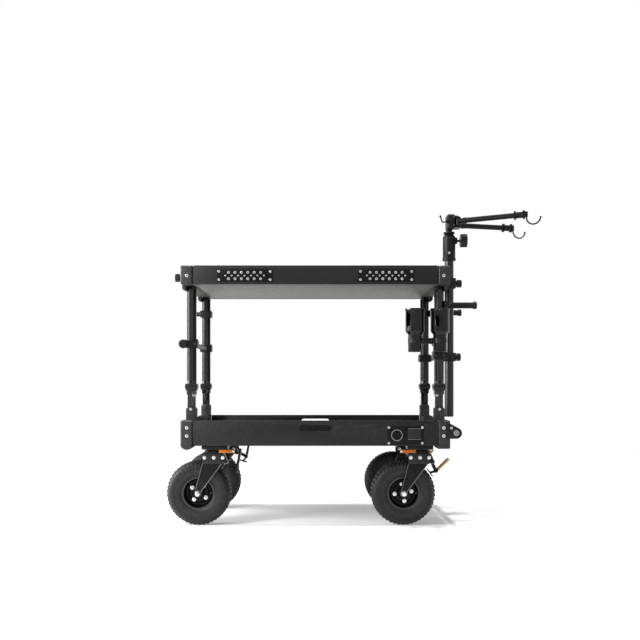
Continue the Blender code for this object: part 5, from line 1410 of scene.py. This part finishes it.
    def arm(self, row: str, length: float, yaw: float, lift: float, finish: Finish) -> None:
        """Model one hook arm along its own axis and turn it to its yaw.

        Args:
            row: Which arm it is.
            length: From the pivot to the arm's end.
            yaw: The turn about the pivot, in degrees.
            lift: The arm's height from the pivot's middle.
            finish: The hook's finish.
        """
        radius, flange = self.arm_radius, self.flange_radius
        eye = add_turned(
            "eye",
            [(0.0043, -0.0175), (0.0112, -0.0175), (0.0120, -0.0165), (0.0120, 0.0165), (0.0112, 0.0175),
             (0.0043, 0.0175)],
            40, (0, 0, 0), closed=True,
        )
        inner = length - self.flange_spacing
        raised = radius + 0.0020
        profile = [
            (0, 0.0070), (radius, 0.0075), (radius, 0.024), (radius + 0.0016, 0.0245),
            (radius + 0.0016, 0.0360), (radius, 0.0365), (radius, 0.0900), (radius - 0.0007, 0.0905),
            (radius - 0.0007, 0.0925), (radius, 0.0930), (radius, inner - 0.0035),
            (flange - 0.0008, inner - 0.0035), (flange, inner - 0.0027), (flange, inner - 0.0006),
            (flange - 0.0008, inner), (radius + 0.0030, inner), (raised, inner + 0.001),
            (raised, inner + 0.0100), (radius - 0.0010, inner + 0.0108), (radius - 0.0010, inner + 0.0125),
            (raised, inner + 0.0133), (raised, length - 0.0036), (flange - 0.0008, length - 0.0035),
            (flange, length - 0.0027), (flange, length - 0.0005), (flange - 0.0010, length + 0.0004),
            (0, length + 0.0004),
        ]
        tube = add_turned("tube", profile, 48, (0, 0, lift), Axis.RIGHT)
        parts = [paint(eye, CLAMP), paint(tube, CLAMP)]
        path = [(x, y, z + lift) for x, y, z in self.hook_path(length)]
        hook = add_wire("hook", path, self.hook_wire)
        ball = add_turned(
            "tip", [(0, -0.0045), (0.0030, -0.0032), (0.0042, 0.0), (0.0030, 0.0032), (0, 0.0045)], 24,
            path[-1],
        )
        corners = (length - 0.001, -0.0022, lift - 0.0110), (length + 0.0150, 0.0022, lift + 0.0125)
        plate = add_block("plate", *corners, 0.0020, 3)
        nut = add_bar("nut", (length, 0, lift), (length + 0.0045, 0, lift), 0.0080, 6, 0.0007)
        parts += [paint(piece, finish) for piece in (hook, ball, plate)]
        parts.append(paint(nut, DARK_BOLT))
        pivot = joint_place(f"hook_arm_swing_{row}")
        whole = joined(f"hook_arm_{row}_body", parts)
        whole.data.transform(Matrix.Translation(pivot) @ Matrix.Rotation(math.radians(yaw), 4, "Z"))
        hand_over(whole, f"hook_arm_{row}", CLAMP, [f"hook_arm_{row}"])

    def build(self) -> None:
        """Build the mast and all it carries."""
        self.tube()
        self.base_clamp()
        self.socket()
        self.head()
        self.arm("front", 0.281, -28.7, 0.006, CLAMP)
        self.arm("rear", 0.257, 15.0, -0.006, DARK_BOLT)


# Casters

def mirrored(side: Profile) -> Profile:
    """Return a wheel's closed section from the points of one side."""
    return side + [(radius, -y) for radius, y in reversed(side)]


@dataclass
class Casters:
    """The four casters with their treaded tyres, dished rims, forks and levers."""

    lugs: int = 46
    cheek_face: float = 0.048
    cheek_fold: float = 0.0030
    cheek_depth: float = 0.0018
    nut_circle: float = 0.0335
    disc_face: float = 0.0084
    nut_reach: float = 0.0073
    crown_x: tuple[float, float] = (-0.0478, 0.0350)
    crown_z: tuple[float, float] = (0.2440, 0.2852)
    crown_bolts: tuple[float, ...] = (-0.039, -0.002, 0.033)
    crown_bolt_z: float = 0.2690
    plate_bolts: tuple[float, float] = (0.0415, 0.0445)
    plate_depth: float = 0.0154
    brake_lift: float = 36.0
    elbow: tuple[float, float, float] = (0.0185, 0.0, -0.0410)
    tip: tuple[float, float, float] = (0.0690, 0.0, 0.0080)
    tread_bars: int = 5
    tread_pitch: float = 0.0095
    nut_turns: tuple[float, float] = (54.0, 9.0)
    tyre_turn: float = 0.37

    def tyre(self) -> Piece:
        """Model the tyre about the wheel's centre, with its sidewall ridges and tread lugs."""
        side: Profile = [
            (0.0608, 0.0270), (0.0640, 0.0300), (0.0680, 0.0318), (0.0705, 0.0345), (0.0722, 0.0352),
            (0.0738, 0.0352), (0.0752, 0.0368), (0.0800, 0.0381), (0.0880, 0.0389), (0.0925, 0.0390),
            (0.0932, 0.0398), (0.0952, 0.0398), (0.0960, 0.0388), (0.1020, 0.0382), (0.1065, 0.0368),
            (0.1072, 0.0378), (0.1090, 0.0374), (0.1110, 0.0352), (0.1160, 0.0312), (0.1210, 0.0245),
            (0.1244, 0.0150), (0.1254, 0.0060),
        ]
        body = add_turned("tyre_body", mirrored(side), 96, (0, 0, 0), Axis.REAR, closed=True)
        rows = (
            ((-0.0040, -0.0025, -0.0068), (0.0040, 0.0025, 0.0068), 0.0009, 0.0374, 0.1045, 12, 0.0),
            ((-0.0041, -0.0030, -0.0085), (0.0041, 0.0030, 0.0085), 0.0010, 0.0302, 0.1152, 48, 0.0),
            ((-0.0058, -0.0062, -0.0030), (0.0058, 0.0062, 0.0034), 0.0010, 0.0090, 0.1234, 7, 0.42),
        )
        pitch = 2 * math.pi / self.lugs
        lugs = []
        for low, high, bevel, out, radius, slope, ahead in rows:
            pattern = add_block("lug_pattern", low, high, bevel, 1)
            for index in range(self.lugs):
                for side_y in (-1, 1):
                    stagger = ahead + (0.0 if side_y < 0 else 0.5)
                    spin = Matrix.Rotation((index + stagger) * pitch, 4, "Y")
                    shift = Matrix.Translation((0, side_y * out, radius))
                    lean = Matrix.Rotation(side_y * math.radians(slope), 4, "X")
                    lugs.append(copied(pattern, "lug", spin @ shift @ lean))
            bpy.data.objects.remove(pattern, do_unlink=True)
        return paint(joined("tyre_pattern", [body, *lugs]), TYRE)

    def rim(self) -> Piece:
        """Model the rim about the wheel's centre: rolled lips, dished disc and hub."""
        side: Profile = [
            (0.0083, 0.0335), (0.0100, 0.0340), (0.0185, 0.0340), (0.0200, 0.0325), (0.0205, 0.0180),
            (0.0235, 0.0105), (0.0280, 0.0085), (0.0365, 0.0085), (0.0400, 0.0060), (0.0450, 0.0050),
            (0.0500, 0.0062), (0.0535, 0.0110), (0.0552, 0.0255), (0.0560, 0.0285), (0.0585, 0.0302),
            (0.0630, 0.0308), (0.0655, 0.0300), (0.0662, 0.0285), (0.0655, 0.0272), (0.0606, 0.0268),
            (0.0604, 0.0240),
        ]
        rim = add_turned("rim_pattern", mirrored(side), 96, (0, 0, 0), Axis.REAR, closed=True)
        # The rolled lips get the glossier, lighter finish: partly real gloss, partly a painted sheen.
        return tint(paint(rim, RIM), on_lip, LIP_SHEEN)

    def rim_nuts(self, name: str, turn: float) -> Piece:
        """Return the nuts of both sides of a rim and its valve, about the wheel's centre."""
        angles = [turn + index * math.pi / 2 for index in range(4)]
        circle = [(self.nut_circle * math.cos(angle), self.nut_circle * math.sin(angle)) for angle in angles]
        groups = []
        for _, side_y in ROWS:
            places = [(x, side_y * self.disc_face, z) for x, z in circle]
            groups.append(RIM_NUT.placed(f"{name}_{side_y}", places, facing(side_y)))
        valve = add_wire("valve", [(0.046, -0.004, 0.0), (0.048, -0.016, 0.0), (0.050, -0.026, 0.0)], 0.0028)
        return joined(name, [*groups, paint(valve, DARK_BOLT)])

    def fork(self, tag: str, swivel: Vector) -> None:
        """Refine a fork, press its cheeks in, paint a highlight on their rims and set its nuts, crown
        plates, bolts and race.
        """
        node = f"fork_{tag}"
        piece = refined(node, f"{node}_body")
        face = self.cheek_face

        def on_cheek(polygon: bpy.types.MeshPolygon) -> bool:
            """Tell whether a face lies on a cheek's outer side."""
            return abs(polygon.normal.y) > 0.95 and abs(abs(polygon.center.y - swivel.y) - face) < 0.0008

        press_faces(paint(piece, STEEL), on_cheek, self.cheek_fold, -self.cheek_depth, RECESS)

        def on_rim(polygon: bpy.types.MeshPolygon) -> bool:
            """Tell whether a face slopes from a cheek's edge into its recess."""
            out = abs(polygon.center.y - swivel.y)
            return abs(polygon.normal.y) > 0.5 and face - 0.0015 < out < face + 0.0001

        # The sloped rims round the pressed cheeks get a pale grey: a painted highlight.
        tint(piece, on_rim, PAINTED_RIM_HIGHLIGHT)
        hand_over(round_edges(piece, 0.0007, 2, 40.0), node, STEEL, [node])
        axle = joint_place(f"wheel_spin_{tag}")
        reach = max(swivel.y - face - node_box(node)[0].y, self.nut_reach)
        for row, side_y in ROWS:
            y = swivel.y + side_y * face
            fit_turned(
                f"axle_nut_{tag}_{side_y}", node, ZINC,
                [(0, -0.0005), (0.0128, -0.0005), (0.0128, reach - 0.0055), (0.0119, reach - 0.0025),
                 (0.0092, reach - 0.0001), (0.0055, reach + 0.0014), (0, reach + 0.0020)],
                32, (axle.x, y, axle.z), facing(side_y),
            )
            depths = sorted((y, y + side_y * 0.0006))
            corners = [
                (swivel.x + across, out, z) for across, out, z in zip(self.crown_x, depths, self.crown_z)
            ]
            hand_over(add_block(f"crown_plate_{tag}_{side_y}", *corners, 0.0003), node, CROWN)
            places = [
                (swivel.x + across, y + side_y * 0.0004, self.crown_bolt_z) for across in self.crown_bolts
            ]
            CROWN_BOLT.fit(f"crown_bolts_{tag}_{row}", places, facing(side_y), node)
        fit_turned(
            f"race_{tag}", "chassis", STEEL,
            [(0.0300, 0.2862), (0.0400, 0.2862), (0.0440, 0.2880), (0.0440, 0.2925), (0.0425, 0.2945),
             (0.0300, 0.2945)],
            64, (swivel.x, swivel.y, 0), closed=True,
        )

    def plate(self, tag: str, swivel: Vector) -> None:
        """Refine a caster's top plate and bolt it up."""
        node = f"caster_plate_{tag}"
        refine(node, f"{node}_body", "chassis", STEEL, 0.0007, angle=40.0)
        z = node_box(node)[1].z - self.plate_depth
        covered = (1 if "left" in tag else -1, -1 if "front" in tag else 1)
        bolt_x, bolt_y = self.plate_bolts
        places = [
            (swivel.x + across * bolt_x, swivel.y + along * bolt_y, z)
            for across in (-1, 1) for along in (-1, 1) if (across, along) != covered
        ]
        CROWN_BOLT.fit(f"plate_bolts_{tag}", places, Axis.DOWN, "chassis")

    def brake(self, tag: str) -> None:
        """Refine a brake lever's arm and model its pedal, link and screw."""
        node = f"brake_lever_{tag}"
        body = f"brake_{tag}"
        pivot = joint_place(f"brake_press_{tag}")
        left = tag.endswith("left")
        lift = math.radians(-self.brake_lift if left else 0)
        turn = Matrix.Translation(pivot) @ Matrix.Rotation(lift, 4, "Y")
        refine(node, f"{node}_arm", body, STEEL, 0.0006, angle=40.0)
        elbow = Vector(self.elbow)
        run = Vector(self.tip) - elbow
        end = (run.length + 0.0010, 0.0180, 0.0042)
        tread = [add_block("pedal", (0.010, -0.0180, -0.0042), end, 0.0026, 3)]
        for index in range(self.tread_bars):
            x = 0.022 + index * self.tread_pitch
            tread.append(add_block("tread", (x, -0.0150, 0.0035), (x + 0.0032, 0.0150, 0.0052), 0.0009, 2))
        whole = joined(f"brake_pedal_{tag}", tread)
        slope = Matrix.Rotation(-math.atan2(run.z, run.x), 4, "Y")
        whole.data.transform(turn @ Matrix.Translation(elbow) @ slope)
        hand_over(whole, body, STEEL if left else ORANGE)
        end = (elbow.length + 0.004, 0.0090, 0.0062)
        link = add_block(f"brake_link_{tag}", (-0.002, -0.0090, -0.0062), end, 0.0022, 3)
        link.data.transform(turn @ Matrix.Rotation(-math.atan2(elbow.z, elbow.x), 4, "Y"))
        hand_over(link, body, STEEL)
        screw = BRIGHT_SCREW.placed(f"pedal_screw_{tag}", [(0.016, 0.0, 0.0040)], Axis.UP)
        screw.data.transform(turn @ Matrix.Translation(elbow) @ slope)
        hand_over(screw, body, ZINC)

    def swivel_lock(self, tag: str) -> None:
        """Refine a swivel lock and give it its bright tip."""
        node = f"swivel_lock_{tag}"
        refine(node, f"{node}_lever", node, RUST, 0.0014, 3, 40.0)
        low, high = node_box(node)
        inboard = 1 if tag.endswith("left") else -1
        tip_x = high.x - 0.004 if inboard > 0 else low.x + 0.004
        middle = (low + high) / 2
        fit_turned(
            f"lock_tip_{tag}", node, ZINC,
            [(0, -0.004), (0.0052, -0.004), (0.0060, -0.002), (0.0060, 0.0035), (0.0045, 0.0050),
             (0, 0.0050)],
            28, (tip_x, middle.y, middle.z), Axis.RIGHT if inboard > 0 else Axis.LEFT,
        )

    def build(self) -> None:
        """Build the four casters."""
        tyre, rim = self.tyre(), self.rim()
        for (end, _), nut_turn in zip(ENDS, self.nut_turns):
            turn = math.radians(nut_turn)
            for row, side_y in ROWS:
                tag = f"{row}_{end}"
                swivel = joint_place(f"swivel_{tag}")
                place = Matrix.Translation(joint_place(f"wheel_spin_{tag}"))
                body = f"wheel_{tag}"
                spin = Matrix.Rotation(turn * self.tyre_turn * side_y, 4, "Y")
                hand_over(copied(tyre, f"tyre_{tag}_tread", place @ spin), body, TYRE, [f"tyre_{tag}"])
                hand_over(copied(rim, f"rim_{tag}_dish", place), body, RIM, [f"rim_{tag}"])
                nuts = self.rim_nuts(f"rim_nuts_{tag}", turn)
                nuts.data.transform(place)
                hand_over(nuts, body, ZINC)
                self.fork(tag, swivel)
                self.plate(tag, swivel)
                self.brake(tag)
                self.swivel_lock(tag)
        for pattern in (tyre, rim):
            bpy.data.objects.remove(pattern, do_unlink=True)


# Studio

@dataclass
class Studio:
    """The floor, lamps, world and camera."""

    camera_distance: float = 3.55
    camera_height: float = 0.5627
    sensor: float = 36.0
    lens: float = 46.97
    shift_x: float = 0.0073
    shift_y: float = 0.0984
    floor_size: float = 60.0
    fade_start: float = 1.6
    fade_end: float = 3.2
    floor_lift: float = 0.28
    room_light: float = 0.24
    sun_power: float = 2.7
    sun_angle: float = 5.0
    lamp_power: float = 60.0

    def camera(self) -> None:
        """Set the camera level at the height of the tray's top, a little off the middle."""
        data = bpy.data.cameras.new("camera")
        data.lens = self.lens
        data.sensor_width = self.sensor
        data.shift_x = self.shift_x
        data.shift_y = self.shift_y
        data.clip_end = 200.0
        camera = new_object("camera", data)
        camera.location = DECK.origin + Vector((0, -self.camera_distance, self.camera_height))
        camera.rotation_euler = (math.radians(90), 0, 0)
        bpy.context.scene.camera = camera

    def lamp(self, name: str, kind: str, place: Place, target: Place, power: float) -> bpy.types.Light:
        """Add a lamp that points at a target and return its data."""
        data = bpy.data.lights.new(name, kind)
        data.energy = power
        lamp = new_object(name, data)
        lamp.location = DECK.origin + Vector(place)
        aim = Vector(target) - Vector(place)
        lamp.rotation_euler = aim.to_track_quat("-Z", "Y").to_euler()
        return data

    def lamps(self) -> None:
        """Light the cart with a sun above, a tall lamp at the front left and a wide one at the left."""
        sun = self.lamp("top", "SUN", (0.0, -0.20, 4.0), (0, 0, 0), self.sun_power)
        sun.angle = math.radians(self.sun_angle)
        for name, place, target, width, height in (
            ("key", (-1.72, -1.25, 1.42), (0, -0.2, 0.85), 0.6, 1.6),
            ("side", (-2.60, 0.10, 1.05), (0, 0.0, 0.8), 1.2, 1.7),
        ):
            lamp = self.lamp(name, "AREA", place, target, self.lamp_power)
            lamp.shape = "RECTANGLE"
            lamp.size = width
            lamp.size_y = height

    def floor(self) -> None:
        """Lay a pale floor that keeps the cart's shadow and fades to white."""
        deselect()
        bpy.ops.mesh.primitive_plane_add(size=self.floor_size, location=(0, 0, 0))
        floor = settle(bpy.context.object)
        floor.name = "studio_floor"
        material = bpy.data.materials.new("studio_floor")
        material.use_nodes = True
        material.node_tree.nodes.clear()
        nodes = Nodes(material.node_tree)
        diffuse = nodes.add("ShaderNodeBsdfDiffuse", {"Color": FLOOR_GREY})
        seen = nodes.rays("Is Camera Ray", "Is Glossy Ray")
        strength = nodes.math("MULTIPLY", seen, self.floor_lift)
        lift = nodes.add("ShaderNodeEmission", {"Color": WHITE, "Strength": strength})
        near = nodes.add("ShaderNodeAddShader", {0: diffuse.outputs["BSDF"], 1: lift.outputs["Emission"]})
        place = nodes.add("ShaderNodeTexCoord", {}).outputs["Object"]
        reach = nodes.add("ShaderNodeVectorMath", {0: place}, operation="LENGTH").outputs["Value"]
        fade = nodes.add(
            "ShaderNodeMapRange", {"Value": reach, "From Min": self.fade_start, "From Max": self.fade_end},
            interpolation_type="SMOOTHSTEP",
        )
        share = nodes.math("MULTIPLY", fade.outputs["Result"], seen)
        white = nodes.add("ShaderNodeEmission", {"Color": WHITE})
        mix = nodes.add("ShaderNodeMixShader", {
            "Fac": share, 1: near.outputs["Shader"], 2: white.outputs["Emission"],
        })
        nodes.add("ShaderNodeOutputMaterial", {"Surface": mix.outputs["Shader"]})
        floor.data.materials.append(material)

    def world(self) -> None:
        """Fill the room with soft light, and show white behind the cart."""
        world = bpy.data.worlds.new("studio")
        bpy.context.scene.world = world
        world.use_nodes = True
        world.node_tree.nodes.clear()
        nodes = Nodes(world.node_tree)
        room = nodes.add("ShaderNodeBackground", {"Color": WHITE, "Strength": self.room_light})
        white = nodes.add("ShaderNodeBackground", {"Color": WHITE})
        mix = nodes.add("ShaderNodeMixShader", {
            "Fac": nodes.rays("Is Camera Ray", "Is Glossy Ray", "Is Transmission Ray"),
            1: room.outputs["Background"], 2: white.outputs["Background"],
        })
        nodes.add("ShaderNodeOutputWorld", {"Surface": mix.outputs["Shader"]})

    def build(self) -> None:
        """Set the studio up."""
        self.camera()
        self.floor()
        self.world()
        self.lamps()
        bpy.context.scene.view_settings.view_transform = "Standard"


def main() -> None:
    """Build the cart's sub-assemblies in order, then the studio."""
    for assembly in (
        EndCastings(), LowerTray(), TopShelf(), HandKnobs(), FoldingPosts(), ClampedBars(),
        MugHolders(), Mast(), Casters(), Studio(),
    ):
        LOG.info("building %s", type(assembly).__name__)
        assembly.build()
    deselect()


if __name__ == "__main__":
    main()
